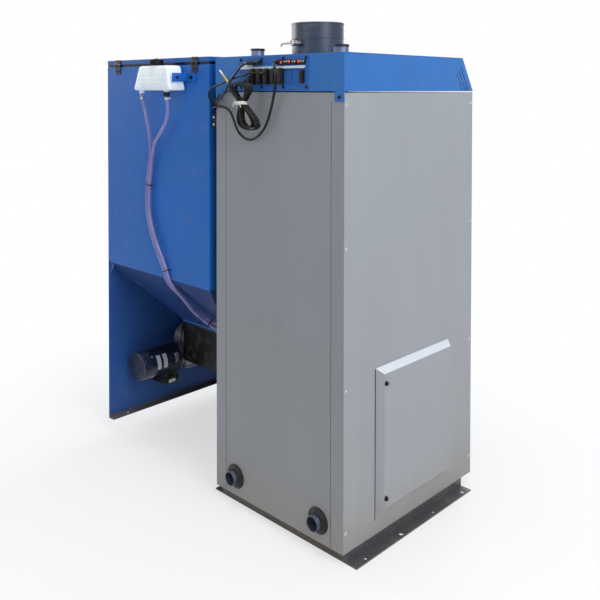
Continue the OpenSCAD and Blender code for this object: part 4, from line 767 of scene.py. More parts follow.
class BOILER_OT_stage(BoilerStep, bpy.types.Operator):
    """Camera, floor, lamps and a white surround"""
    bl_idname = "boiler.stage"
    bl_label = "Stage"

    def execute(self, context):
        data = bpy.data.cameras.new("camera")
        data.sensor_width = 36
        data.lens = 45.77
        data.shift_y = -0.3245
        data.clip_end = 60
        camera = bpy.data.objects.new("camera", data)
        spot, heading, tilt, roll = (-1.859, 1.809, 1.263), -0.796917, -0.021293, 0.001396
        camera.matrix_world = (spun(spot, heading - math.pi / 2)
                               @ Matrix.Rotation(math.pi / 2 + tilt, 4, "X") @ Matrix.Rotation(roll, 4, "Z"))
        context.scene.collection.objects.link(camera)
        context.scene.camera = camera
        context.scene.view_settings.view_transform = "Standard"

        floor = bmesh.new()
        bmesh.ops.create_grid(floor, x_segments=2, y_segments=2, size=14)
        mesh = bpy.data.meshes.new("floor")
        floor.to_mesh(mesh)
        floor.free()
        ground = bpy.data.objects.new("floor", mesh)
        ground.location.z = -0.0005
        pale = Finish("pale_floor", "", Roughness=0.9, Specular_IOR_Level=0.1)
        pale.set(Base_Color=pale.tint(pale.noise(1.5, 3, 0.5), (0.86, 0.86, 0.86, 1), (0.9, 0.9, 0.9, 1)))
        seen = self.seen(pale)
        glow = pale.node("Emission", {}, {"Color": (1, 1, 1, 1), "Strength": 1.0})
        lit = Link(pale, pale.shader.outputs[0])
        away = pale.node("VectorMath", {"operation": "LENGTH"}, {0: pale.place}, "Value").above(0.75, 1.9)
        mixed = pale.node("MixShader", {}, {0: seen * (0.62 + away * 0.38), 1: lit, 2: glow})
        pale.tree.links.new(mixed.socket, pale.output.inputs[0])
        mesh.materials.append(pale.material)
        context.scene.collection.objects.link(ground)

        world = bpy.data.worlds.new("surround")
        context.scene.world = world
        world.use_nodes = True
        sky = Finish.__new__(Finish)
        sky.tree = world.node_tree
        sky.tree.nodes.clear()
        output = sky.tree.nodes.new("ShaderNodeOutputWorld")
        soft = sky.node("Background", {}, {"Color": (0.93, 0.96, 1, 1), "Strength": 0.22})
        white = sky.node("Background", {}, {"Color": (1, 1, 1, 1), "Strength": 1.0})
        mixed = sky.node("MixShader", {}, {0: self.seen(sky), 1: soft, 2: white})
        sky.tree.links.new(mixed.socket, output.inputs[0])

        for name, spot, aim, width, power in (
                ("key", (-3.4, 0.9, 2.7), (-0.3, 0, 0.75), 2.4, 80),
                ("back", (0.6, 4.0, 2.3), (0.0, 0.2, 0.7), 2.6, 20),
                ("top", (-0.4, 0.2, 4.2), (-0.2, 0, 0.6), 3.0, 76),
                ("front", (0.9, -3.8, 2.2), (0, 0, 0.7), 2.6, 70),
                ("hopper", (3.6, 0.4, 2.0), (0.4, 0, 0.8), 2.4, 45)):
            lamp = bpy.data.lights.new(name, "AREA")
            lamp.shape = "DISK"
            lamp.size = width
            lamp.energy = power
            light = bpy.data.objects.new(name, lamp)
            light.location = spot
            light.rotation_euler = (Vector(aim) - Vector(spot)).to_track_quat("-Z", "Y").to_euler()
            context.scene.collection.objects.link(light)
        return {"FINISHED"}

    @staticmethod
    def seen(finish):
        """1 for rays that look straight at the surround or at its mirror image."""
        rays = [finish.node("LightPath", {}, {}, kind)
                for kind in ("Is Camera Ray", "Is Glossy Ray", "Is Transmission Ray")]
        return finish.node("Math", {"operation": "MAXIMUM"}, {
            0: finish.node("Math", {"operation": "MAXIMUM"}, {0: rays[0], 1: rays[1]}), 1: rays[2]})


# Cables and hoses: the routes repeat those of the frame's solids

POWER_ROUTE = [(242, 4, 1305), (242, 15, 1305), (236, 28, 1299), (224, 35, 1284), (220, 36, 1264),
               (226, 32, 1242), (236, 27, 1216), (247, 23, 1190), (259, 20, 1163), (273, 17, 1138),
               (292, 15, 1113), (319, 14, 1092), (352, 13, 1081), (383, 13, 1088), (405, 14, 1106),
               (420, 15, 1134), (434, 16, 1158), (458, 15, 1172), (488, 12, 1176), (512, 10, 1174),
               (527, 5, 1170), (532, -6, 1164), (529, -14, 1156), (529, -14, 1150)]
LOOM_ROUTES = [
    [(287, 18, 1274), (288, 26, 1274), (305, 32, 1275), (340, 34, 1273), (370, 31, 1267), (431, 28, 1255),
     (470, 27, 1243), (501, 26, 1235), (528, 22, 1222), (541, 12, 1204), (544, -1, 1186), (543, -10, 1170),
     (541, -13, 1158), (541, -13, 1150)],
    [(318, 15, 1305), (319, 23, 1305), (336, 34, 1304), (361, 40, 1293), (383, 40, 1275), (405, 38, 1257),
     (424, 36, 1238), (450, 28, 1216), (484, 18, 1200), (509, 9, 1187), (525, 1.5, 1179.5),
     (535, -7, 1172.5), (537.5, -19.5, 1166), (540.5, -26, 1156), (541, -27, 1150)],
    [(348, 18, 1254), (349, 24, 1254), (360, 27, 1252), (380, 24, 1247), (407, 20, 1238), (446, 15, 1224),
     (482, 10, 1210), (512, 9, 1197), (527, 3, 1189), (533, -10, 1181), (532, -24, 1171), (529, -32, 1160),
     (529, -33, 1150)]]
SENSOR_LEAD = [(343, 18, 1264), (343, 24, 1264), (342, 29, 1261), (339, 32, 1252), (336, 32, 1242),
               (333, 33, 1230)]
SENSOR_END = [(388, 37, 1222), (393, 42, 1234), (399, 47, 1242), (406, 50, 1248)]
HANK_WAIST = 1189
FULL_TURN = [math.tau * k / 40 for k in range(41)]
SENSOR_TIP = [(406, 50, 1248), (441, 54, 1286)]
MOTOR_ROUTE = [(1055.5, -286, 316), (1055.5, -285, 327), (1046.5, -277, 337), (1032.5, -263, 340),
               (1021.5, -247, 328), (1011.5, -233, 304), (1001.5, -223, 274), (994.5, -214, 240),
               (993.5, -202, 201), (998.5, -194, 174), (1005.5, -190, 158), (1015.5, -190, 156)]
HOSE_ROUTES = [
    [(860, 42, 1214), (859, 41, 1198), (855, 37, 1170), (850, 33, 1142), (846, 24, 1085), (847, 18, 1041),
     (852, 14, 997), (864, 13, 952), (874, 13, 880), (873, 13, 812), (855, 14, 761), (831, 14, 711),
     (801, 12, 661), (783, 9, 625), (775, 6.5, 600), (769, -8, 572), (764, -50, 527), (752, -78, 490),
     (725, -118, 453), (691, -142, 432), (658, -163, 418), (630, -185, 407), (616, -206, 402),
     (616, -225.7, 402)],
    [(721, 42, 1214), (721, 41, 1198), (720, 39, 1172), (724, 36, 1148), (738, 33, 1122), (760, 30, 1098),
     (788, 26, 1074), (818, 22, 1044), (838, 17, 1000), (851, 14, 952), (860, 14, 880), (859, 14, 812),
     (842, 15, 761), (815, 15, 711), (785.5, 12, 661), (768, 9, 625), (760, 6.5, 600), (754.5, -8, 572),
     (750, -46, 527), (739, -74, 484), (714, -111, 443), (682, -136, 415), (650, -158, 394), (626, -182, 379),
     (616, -205, 374), (616, -225.7, 374)]]


def hank(turns):
    """Nested loops of the sensor cable, tied at their waist, from the inside out and back."""
    waist, up_reach, down_reach, back, pitch = HANK_WAIST, 59, 76, 34, 5.3
    line = []
    for k in range(int((2 * turns - 0.35) * 24 + 1e-6) + 1):
        t = 0.16 + k / 24
        u = -math.tau * t
        v, up = abs(math.cos(u)), math.cos(u) >= 0
        outer = min(1, max(0, 2 * (t - turns) + 0.5))
        reach = v * ((up_reach if up else down_reach) - 7 * (1 - outer))
        z = waist + (reach if up else -reach)
        lobe = (24 if up else 20) + 14 * outer
        w = math.sqrt(max(0, 1 - v)) * (2.7 + 6.6 * outer + lobe * v ** 1.5 / 0.325)
        low, high = waist - down_reach, waist + up_reach
        if z < waist:
            axis = 314 + (z - low) / (waist - low) * 34
        else:
            axis = 348 + (z - waist) / (high - waist) * 12
        line.append((axis + (w if math.sin(u) >= 0 else -w), back + pitch * min(t, 2 * turns - t), z))
    return line


def boot(name, route, start, width, reach, body_finish):
    """A tapered sleeve with rings that guards a cable where it leaves its housing."""
    line = curve_through(route[:6], 6)
    spots, far = [line[0]], 0
    for a, b in zip(line, line[1:]):
        far += (b - a).length
        if far > reach:
            break
        spots.append(b)
    last = len(spots) - 1
    radii = [start + (width / 2 + 0.7 - start) * k / last + (0.35 if k % 2 else 0) for k in range(last + 1)]
    return Shape().tube(spots, radii, 20).piece(name, body_finish, angle=50)


class BOILER_OT_cables(BoilerStep, bpy.types.Operator):
    """Power cable, loom, sensor cable with its hank and sleeve, and the motor's cable"""
    bl_idname = "boiler.cables"
    bl_label = "Cables"

    def execute(self, context):
        sheath = cable_sheath("cable_rubber", "rubber")
        width = size("power_cable")
        guard = boot("power_guard", POWER_ROUTE, 6.2, width, 24, black())
        lay_cord("power_lead", POWER_ROUTE, width, sheath, ("power_cable",), [guard])

        width = size("loom_cable")
        for name, route, replaced in zip("abc", LOOM_ROUTES, (("cable_loom",), (), ())):
            guard = boot("loom_guard_" + name, route, 4.6, width, 14, black())
            lay_cord("loom_lead_" + name, route, width, sheath, replaced, [guard])

        width = size("sensor_cable")
        route = SENSOR_LEAD + hank(context.scene.boiler_sizes.hank_turns) + SENSOR_END
        tip = Vector(SENSOR_TIP[1]) - Vector(SENSOR_TIP[0])
        r = width / 2
        sleeve = Shape().turned([(0, 0), (r + 0.35, 0), (r + 0.8, 1.5), (r + 0.8, 12), (r + 0.5, 13),
            (r + 0.8, 14), (r + 0.8, 30), (r + 0.1, 32), (r - 0.2, 33), (0, 33)], SENSOR_TIP[0], 20, tip)
        sleeve.piece("sensor_sleeve", pale_plate("yellow_sleeve", "sleeve", 176, 156, 58),
            replaced=("sensor_tip",))
        probe = Shape().turned(head(r - 0.1, 15.6, r - 0.8, 17.2, 17.6),
                               Vector(SENSOR_TIP[0]) + tip.normalized() * 33, 20, tip)
        probe.piece("sensor_probe", steel())
        tie = Shape()
        waist = Vector((348, 50.6, HANK_WAIST))
        lean = Vector((24, 0, 88)).normalized()
        for step in (-3.4, -1.1, 1.2, 3.5):
            tie.tube([waist + lean * (step + 0.8 * math.sin(3 * a))
                      + Vector((16.5 * math.cos(a), 17.7 * math.sin(a), 0)) for a in FULL_TURN], 1.6, 8)
        for side in (-1, 1):
            end = [waist + Vector((x * side, y, z))
                   for x, y, z in ((2, 17.6, 0), (7, 17.8, 3), (13, 17.6, -3), (17, 16, -12))]
            tie.tube(curve_through(end, 5), 1.4, 8)
        knot = tie.piece("hank_tie", pale_plate("cable_rubber", "tie", 216, 214, 208), angle=60)
        lay_cord("sensor_lead", route, width, sheath, ("sensor_cable",),
                 ["sensor_sleeve", "sensor_probe", knot],
                 steps=2)

        width = size("motor_cable")
        gland = Shape().hexagon((MOTOR_X, -286, 314), 17, 6)
        gland.turned([(0, 0), (7, 0), (7, 3), (5.4, 6), (3.4, 9), (0, 9)], (MOTOR_X, -286, 320), 24)
        lay_cord("motor_lead", MOTOR_ROUTE, width, sheath, ("motor_cable",),
            [gland.piece("motor_gland", steel())])
        return {"FINISHED"}


class BOILER_OT_hoses(BoilerStep, bpy.types.Operator):
    """Tinted water hoses with their ties and clamps"""
    bl_idname = "boiler.hoses"
    bl_label = "Hoses"

    def execute(self, context):
        width = size("water_hose")
        ties = []
        lines = [curve_through(route, 12) for route in HOSE_ROUTES]
        for number, level in enumerate((905, 622, 442)):
            k = min(range(len(lines[0]) - 1), key=lambda n: abs(lines[0][n].z - level))
            a, along = lines[0][k], (lines[0][k + 1] - lines[0][k - 1]).normalized()
            b = min((p for p in lines[1] if (p - a).length < 60), key=lambda p: abs((p - a).dot(along)))
            place = facing(along)
            across = place.inverted() @ (a - b)
            turn = Matrix.Rotation(math.atan2(across.y, across.x), 4, "Z")
            ties.append(self.tie(f"hose_tie_{number}", (a + b) / 2, place @ turn,
                (a - b).length / 2 + width / 2 + 1, width / 2 + 1))
        clamps = [[], []]
        for number, route in enumerate(HOSE_ROUTES):
            for end, spots in enumerate((route[:3], route[::-1][:3])):
                line = curve_through(spots, 8)
                at = line[8 if end == 0 else 5]
                along = line[9 if end == 0 else 6] - at
                clamps[number].append(self.clamp(f"hose_clamp_{number}_{end}", at, along, width / 2))
        lay_cord("hose_line_left", HOSE_ROUTES[0], width, clear_hose("hose_plastic"), ("hose_left",),
                 clamps[0] + ties)
        lay_cord("hose_line_right", HOSE_ROUTES[1], width, clear_hose("hose_plastic"),
            ("hose_right",), clamps[1])
        return {"FINISHED"}

    @staticmethod
    def tie(name, at, turned, half, lift):
        place = Matrix.Translation(at) @ turned
        ring = []
        for a in FULL_TURN:
            ring.append(place @ Vector((half * math.copysign(abs(math.cos(a)) ** 0.6, math.cos(a)),
                                        lift * math.copysign(abs(math.sin(a)) ** 0.9, math.sin(a)), 0)))
        strap = Shape().tube(ring, 1.9, 8)
        strap.tube([place @ Vector((x, lift + 1, z)) for x, z in ((0, 0), (-half * 0.7, 0.8),
            (-half - 9, 2))], 1.2, 8)
        strap.block((-2.4, lift - 0.5, -2.2), (2.4, lift + 2.6, 2.2), 0.6, place)
        return strap.piece(name, black(), angle=50)

    @staticmethod
    def clamp(name, at, along, r):
        """A perforated steel band with its worm screw."""
        place = Matrix.Translation(at) @ facing(along)
        band = Shape().ring([(r + 0.05, -4), (r + 0.9, -4), (r + 0.9, 4), (r + 0.05, 4)], at, 32, along)
        band.block((-4.5, r + 0.4, -3.6), (4.5, r + 3.4, 3.6), 0.8, place)
        band.turned([(0, -6.5), (2.6, -6.5), (2.6, 6.2), (0, 6.2)], place @ Vector((0, r + 3.2, 0)), 16,
            place.to_3x3() @ Vector(RIGHT))
        return band.piece(name, steel())


class BOILER_OT_casing(BoilerStep, bpy.types.Operator):
    """Grey sheets, hatch cover and the screws that hold them"""
    bl_idname = "boiler.casing"
    bl_label = "Casing"

    def execute(self, context):
        coat(grey(), "side_panel_left", "side_panel_right", "back_panel", "front_panel")
        coat(grey("hatch"), "burner_hatch_cover")
        coat(wool("wool"), "insulation_jacket")
        coat(raw_plate("body_steel", "body", 62, 64, 68), "boiler_body")
        self.pan_heads()
        self.cap_heads()
        self.seams()
        return {"FINISHED"}

    @staticmethod
    def pan_heads():
        """White pan heads with a cross recess, each turned its own way."""
        r = size("screw_head") / 2
        heads, marks, count = Shape(), Shape(), 0
        for x, out in ((0, LEFT), (520, RIGHT)):
            for y in (-10, FRONT + 10):
                for i in range(4):
                    at = (x, y, 54 + i * 1132 / 3)
                    heads.turned([(0, -0.05), (r + 0.5, -0.05), (r + 0.5, 0.25), (r, 0.3), (r, 1.2),
                        (r * 0.86, 2.0), (r * 0.55, 2.45), (0, 2.6)], at, 28, out)
                    spin = Matrix.Translation(at) @ facing(out) @ Matrix.Rotation(0.4 + 1.9 * count, 4, "Z")
                    for long, wide in ((2.6, 0.55), (0.55, 2.6)):
                        marks.block((-long, -wide, 1.7), (long, wide, 2.66), 0.12, spin)
                    count += 1
        heads.piece("pan_heads", pale_plate("white_screw", "screw", 206, 210, 214),
            replaced=("panel_screws",))
        marks.piece("pan_recesses", black())

    @staticmethod
    def cap_heads():
        """Black socket heads on the hatch, the hood's tabs and the socket plate."""
        screws = [((-20, -156, 100), LEFT, 5.5, 6), ((-20, -156, 420), LEFT, 5.5, 6)]
        screws += [((x, 1.5, 1208), BACK, 4, 3) for x in (16, 504)]
        screws += [((134 + i * 268 / 3, 3, 1227 + z), BACK, 4, 2.5) for i in range(4) for z in (8, 88)]
        heads = Shape()
        for at, out, r, tall in screws:
            bore = r * 0.5
            heads.turned([(0, 0), (r * 1.25, 0), (r * 1.25, 0.5), (r, 0.6), (r, tall - 0.9), (r * 0.86, tall),
                (bore + 0.5, tall), (bore, tall - 0.4)], at, 30, out)
            heads.turned([(bore, tall - 0.4), (bore, tall * 0.35), (0, tall * 0.3)], at, 6, out)
        heads.piece("cap_heads", blackened(), replaced=("cap_screws",))

    @staticmethod
    def seams():
        """The dark joints beside the back sheet, a black strip that paints the shadow beside the hatch, and
        the strip inside the hood's slits.
        """
        joints_and_hatch_shadow = Shape()
        for x in (44.4, 474.2):
            joints_and_hatch_shadow.block((x, -0.6, 2), (x + 1.5, 0.06, 1195))
        # painted shadow: a black strip in the gap beside the hatch cover's back edge
        joints_and_hatch_shadow.block((-0.5, HATCH_BACK, 40), (0.1, HATCH_BACK + 2.6, HATCH_TOP - 2))
        joints_and_hatch_shadow.piece("back_joints", black_paint("rubber_seal", 20))
        strip = Shape()
        for x in (1.0, 517.2):
            strip.prism([(-548, 1228), (-500, 1310), (-548, 1318), (-592, 1240)], 1.2,
                        Matrix.Translation((x, 0, 0)) @ ACROSS,
                        0.2)
        strip.piece("slit_lining", pale_plate("grey_panel", "zinc_strip", 232, 236, 240))


class BOILER_OT_hood(BoilerStep, bpy.types.Operator):
    """Hood and the folds along its upper edges"""
    bl_idname = "boiler.hood"
    bl_label = "Hood"

    def execute(self, context):
        coat(powder_coat("blue_panel", "hood"), "top_hood")
        folds = Shape()
        for x in (-1.5, 521.5):
            folds.tube([(x, 1.5, z) for z in (1224, 1275, 1325.4)], 0.8, 8)
            folds.tube([(x, FRONT + 60, 1325.6), (x, -300, 1325.6), (x, 1, 1325.6)], 0.8, 8)
        folds.piece("hood_folds", powder_coat("blue_panel", "hood"))
        return {"FINISHED"}


class BOILER_OT_socket_plate(BoilerStep, bpy.types.Operator):
    """Socket plate with its lip, terminal strips, lamps, plugs and the cable clamp"""
    bl_idname = "boiler.socket_plate"
    bl_label = "Socket plate"

    def execute(self, context):
        coat(powder_coat("blue_panel", "plate"), "socket_plate")
        coat(black(), "socket_strip")
        coat(lamp_lens("red_plastic"), "indicator_lamps")
        self.lip()
        self.terminals()
        self.plugs()
        self.clamp()
        return {"FINISHED"}

    @staticmethod
    def lip():
        """The plate's bright folded lip, a blank label and two blank frames."""
        lip = Shape().block((137.6, 2.9, 1288.7), (402.4, 8.3, 1293.3), 0.5)
        lip.block((137.6, 7.3, 1286.4), (402.4, 8.3, 1289.5), 0.3)
        lip.piece("plate_lip", pale_plate("white_screw", "lip", 206, 218, 230))
        label = Shape().block((352, 2.9, 1294), (396, 3.5, 1299), 0.2)
        label.piece("blank_label", blank_label())
        frames = Shape()
        for i in (0, 1):
            x0, x1 = 161 + i * 30, 187 + i * 30
            corners = [(x0, 4, 1247), (x1, 4, 1247), (x1, 4, 1281), (x0, 4, 1281)]
            for a, b in zip(corners, corners[1:] + corners[:1]):
                frames.tube([a, b], 0.55, 6)
        frames.piece("blank_frames", powder_coat("blue_panel", "hood"))

    @staticmethod
    def terminals():
        """Terminal blocks with clamping screws, the connector's pins and the lamps' rims."""
        rail, screws, rims = Shape(), Shape(), Shape()
        for k in range(13):
            x = 137.5 + 8.3 * k
            if all(abs(x + 3.9 - lamp) > 9 for lamp in (160, 198, 230, 242)):
                rail.block((x, 3.6, 1298), (x + 7.8, 7.4, 1309), 0.5)
                screws.turned(head(2.2, 0.4, 1.9, 0.7), (x + 3.9, 7.3, 1305.6), 16, BACK)
                rail.turned([(0, -0.1), (1.6, -0.1), (1.6, 0.12), (0, 0.12)],
                    (x + 3.9, 7.4, 1300.8), 12, BACK)
        for k in range(6):
            x = 311 + 10.4 * k
            rail.block((x, 14.6, 1300.6), (x + 9.6, 17.6, 1309.4), 0.6)
            screws.turned(head(2.4, 0.5, 2.0, 0.8), (x + 4.8, 17.5, 1305), 16, BACK)
        for k in range(4):
            rail.block((142.5, 8.6, 1247.5 + 8 * k), (152.5, 12, 1254 + 8 * k), 0.8)
        for x, z in ((160, 1305), (198, 1305), (230, 1303)):
            rims.ring(collar(4.6, 6.6, 1.2, 5.9, 2.2), (x, 3.6, z), 32, BACK)
        rail.piece("terminal_blocks", black())
        rims.piece("lamp_rims", black())
        screws.piece("terminal_screws", zinc_plate())

    @staticmethod
    def plugs():
        """Five plugs with rounded backs, ribbed grips and their latches."""
        shell, grip = Shape(), Shape()
        for i in range(5):
            x = 229 + 29 * i
            shell.block((x - 8, 3.05, 1242), (x + 8, 12, 1288), 1.2)
            shell.block((x - 6.9, 10, 1244.5), (x + 6.9, 18, 1285.5), 2.4, steps=3)
            for k in range(6):
                for edge in (x - 6.9, x + 6.9):
                    grip.block((edge - 0.7, 12.2, 1250 + 5.6 * k), (edge + 0.7, 16.8, 1252.6 + 5.6 * k), 0.3)
            grip.block((x - 3, 11, 1283), (x + 3, 15.6, 1287.6), 0.8)
            grip.block((x - 4.4, 17.4, 1277), (x + 4.4, 18.1, 1280.2), 0.2)
        shell.piece("plug_shells", black(), replaced=("cable_fittings",))
        grip.piece("plug_grips", soft_black())

    @staticmethod
    def clamp():
        """Two halves of a cable clamp in the gap, with its screws."""
        halves = Shape().block((520, -42, 1110), (532.8, -6, 1150), 1.6)
        halves.block((533.6, -42, 1110), (547, -6, 1150), 1.6)
        for x in (529, 541):
            halves.ring([(3.6, 0), (6.4, 0), (5.6, 3), (3.6, 3)], (x, -14, 1149.6), 24)
        halves.piece("cable_clamp", black())
        screws = Shape()
        for z in (1119, 1141):
            screws.turned(head(3.4, 1.6, 2.6, 2.4), (540, -6, z), 20, BACK)
        screws.piece("clamp_screws", zinc_plate())


class BOILER_OT_water_pipes(BoilerStep, bpy.types.Operator):
    """Threaded sockets with their rosettes, sleeves and guard rings"""
    bl_idname = "boiler.water_pipes"
    bl_label = "Water pipes"

    def execute(self, context):
        coat(bare_metal("zinc", "socket", 112, 124, 146, 0.42), "water_sockets")
        coat(black(), "pipe_rosettes")
        threads, sleeves = Shape(), Shape()
        for x in (90, 430):
            for at, out in (((x, 25, 58), AHEAD), ((x, -90, 1351), DOWN)):
                line = [(19.7, 0.4)]
                for k in range(11):
                    line += [(19.6, 1.2 + k * 2.3), (18.5, 2.35 + k * 2.3)]
                threads.ring([*line, (19.6, 27.2), (20.2, 27.2), (20.2, 0.4)], at, 48, out)
            sleeves.ring([(21.2, 9.6), (25.4, 9.6), (26, 10.4), (24.4, 11.6), (22, 12.4), (21.2, 12.6)],
                (x, 0, 58), 56, BACK)
            sleeves.ring([(34.4, 0.05), (36, 0.05), (36, 1.6), (34.6, 2.6), (33.4, 2.4)],
                (x, 0, 58), 56, BACK)
            sleeves.ring(collar(21.2, 30, 1.2, 28.8, 1.8), (x, -90, HOOD_TOP), 48)
        # dark metal for the threads, which also paints the shade inside the sockets' bores
        threads.piece("socket_threads", bare_metal("zinc", "thread", 52, 55, 60, 0.5))
        sleeves.piece("socket_sleeves", black(), angle=40)
        return {"FINISHED"}


class BOILER_OT_flue(BoilerStep, bpy.types.Operator):
    """Flue spigot with its seam, and the damper with its bent lever"""
    bl_idname = "boiler.flue"
    bl_label = "Flue"

    def execute(self, context):
        paint = satin_paint("flue_steel", "flue")
        coat(paint, "flue_collar")
        coat(raw_plate("flue_steel", "flap", 104, 108, 114), "damper_flap")
        seam = Shape()
        seam.tube([(340, -180, z) for z in (1327, 1360, 1395, 1424)], 1.0, 8)
        seam.ring([(79.6, 0), (80.7, 0.4), (80.9, 2), (80.4, 3.4), (79.6, 3.6)], (MIDDLE, -180, 1420.6), 96)
        seam.ring([(80, 0), (83.4, 0), (83.4, 1.4), (81.6, 2.6), (80, 3.2)], (MIDDLE, -180, HOOD_TOP), 96)
        seam.piece("flue_seam", paint, angle=50)

        lever = Shape().ring([(5.1, 0), (8.2, 0), (9, 0.8), (9, 20), (8.6, 20.4), (8.6, 21.6), (9, 22),
            (9, 32.9), (8.2, 33.7), (5.1, 33.7)], (MIDDLE, -99.7, DAMPER_Z), 40, BACK)
        lever.turned([(0, 21.5), (5.2, 21.5), (5.2, 31), (4.6, 31.6), (0, 31.6)],
            (MIDDLE, -99.7, DAMPER_Z), 24, BACK)
        bend = ((-4, 0), (12, 0), (30, 0), (44, 0.4), (49.6, 1.8), (51.8, 4.6), (52, 8.6))
        lever.tube(curve_through([(MIDDLE + x, -75, DAMPER_Z - drop) for x, drop in bend], 4), 3, 16)
        lever.turned(head(3, 0.6, 2.4, 1.2), (MIDDLE + 52, -75, 1354.6), 16, DOWN)
        lever.piece("damper_arm", zinc_plate(), body="damper", replaced=("damper_lever",))
        grub = Shape().hexagon((MIDDLE, -84.5, 1371.5), 8, 3.4)
        grub.ring(washer(5.2, 8.6, 1.2), (MIDDLE, -99.6, DAMPER_Z), 24, AHEAD)
        grub.piece("damper_screw", blackened(), body="damper")
        return {"FINISHED"}


class BOILER_OT_doors(BoilerStep, bpy.types.Operator):
    """Doors, their rims, linings, hinges and handles, and the ash drawer"""
    bl_idname = "boiler.doors"
    bl_label = "Doors"

    def execute(self, context):
        blue = powder_coat("blue_door", "doors")
        coat(blue, "upper_door", "lower_door")
        coat(lining_board("lining"), "upper_door_lining", "lower_door_lining")
        coat(bare_metal("bare_steel", "hinge", 132, 134, 140, 0.4), "door_hinges")
        coat(black_paint("black_paint", 44), "ash_drawer")
        for body, low, high in (("upper_door", 640, 1110), ("lower_door", 150, 510)):
            self.rim(body, low, high)
            self.handle(body.replace("door", "handle"), (low + high) / 2)
        trim = Shape().block((92, -629.1, 26), (428, -627, 142), 1.4)
        for x in (200, 320):
            trim.ring(collar(5.2, 11, 1.6, 9.4, 2.8), (x, -628.8, 84), 28, AHEAD)
        trim.piece("drawer_trim", blue, body="ash_drawer")
        pull = Shape().tube(curve_through([(260 + x, y, 84) for x, y in ((-60, -631), (-60, -648),
            (-58, -657), (-50, -661.6), (-35, -662), (0, -662), (35, -662), (50, -661.6), (58, -657),
            (60, -648), (60, -631))], 5), 6.2, 16)
        pull.piece("drawer_pull", black(), body="ash_drawer")
        return {"FINISHED"}

    @staticmethod
    def rim(body, low, high):
        """A folded rim, a pressed panel, the rope seal and the hinges' caps of one door."""
        blue = powder_coat("blue_door", "doors")
        rim = Shape().outline([(x, -628.2, z) for x, z in (
            (81.2, low + 1.2), (438.8, low + 1.2), (438.8, high - 1.2), (81.2, high - 1.2))], 1.5)
        rim.block((114, -628.4, low + 34), (406, -626.8, high - 34), 1.2)
        rim.piece(body + "_rim", blue, body=body)
        z0, z1 = low + 29, high - 29
        middle = (z0 + z1) / 2
        rope = Shape().tube(curve_through([(x, -620, z) for x, z in ((112, z0 + 4), (116, z0), (260, z0),
            (404, z0), (408, z0 + 4), (408, middle), (408, z1 - 4), (404, z1), (260, z1), (116, z1),
            (112, z1 - 4), (112, middle), (112, z0 + 4))], 4), 0.9, 8)
        rope.piece(body + "_rope", wool("lining"), body=body)
        caps = Shape()
        for k in (low + 50, high - 70):
            caps.turned([(0, 0), (5.2, 0), (6.2, 1), (6.2, 2.2), (4, 3.6), (0, 4)], (62, -628, k + 39.6), 24)
        caps.piece(body + "_hinge_caps", black(), body=body)

    @staticmethod
    def handle(body, middle):
        """A shaft with its rosette, a crank and a ribbed grip that tapers to its ends."""
        x, y = 416, -678
        grip = Shape().turned([(0, 0), (5.6, 0.6), (9.4, 3.4), (11.4, 8), (12, 14), (11.6, 40), (12, 68),
            (11.2, 78), (9, 85), (5.4, 88.2), (0, 89)], (x, y, middle - 132), 32)
        for k in range(5):
            grip.ring([(11.4, 0), (11.98, 0.8), (11.98, 2.2), (11.4, 3)], (x, y, middle - 118 + 12 * k), 32)
        grip.piece(body + "_grip", black(), body=body, replaced=(body.replace("handle", "door_handle"),))
        crank = Shape().tube(curve_through([(x, y + 3, middle - 48), (x, y + 5, middle - 34),
            (x, y + 7, middle - 22), (x, y + 7, middle - 8)], 5), 6.4, 16)
        crank.turned([(0, 0), (10, 0), (12, 1.6), (12, 12.4), (10, 14), (0, 14)], (x, y, middle), 32, BACK)
        crank.ring(collar(7, 15, 9, 13, 11.6), (x, -628.8, middle), 36, AHEAD)
        crank.tube([(x, y + 6, middle), (x, -650, middle), (x, -622, middle), (x, -620.6, middle)], 7, 24)
        crank.piece(body + "_crank", bare_metal("black_plastic", "crank", 58, 60, 64, 0.4), body=body)


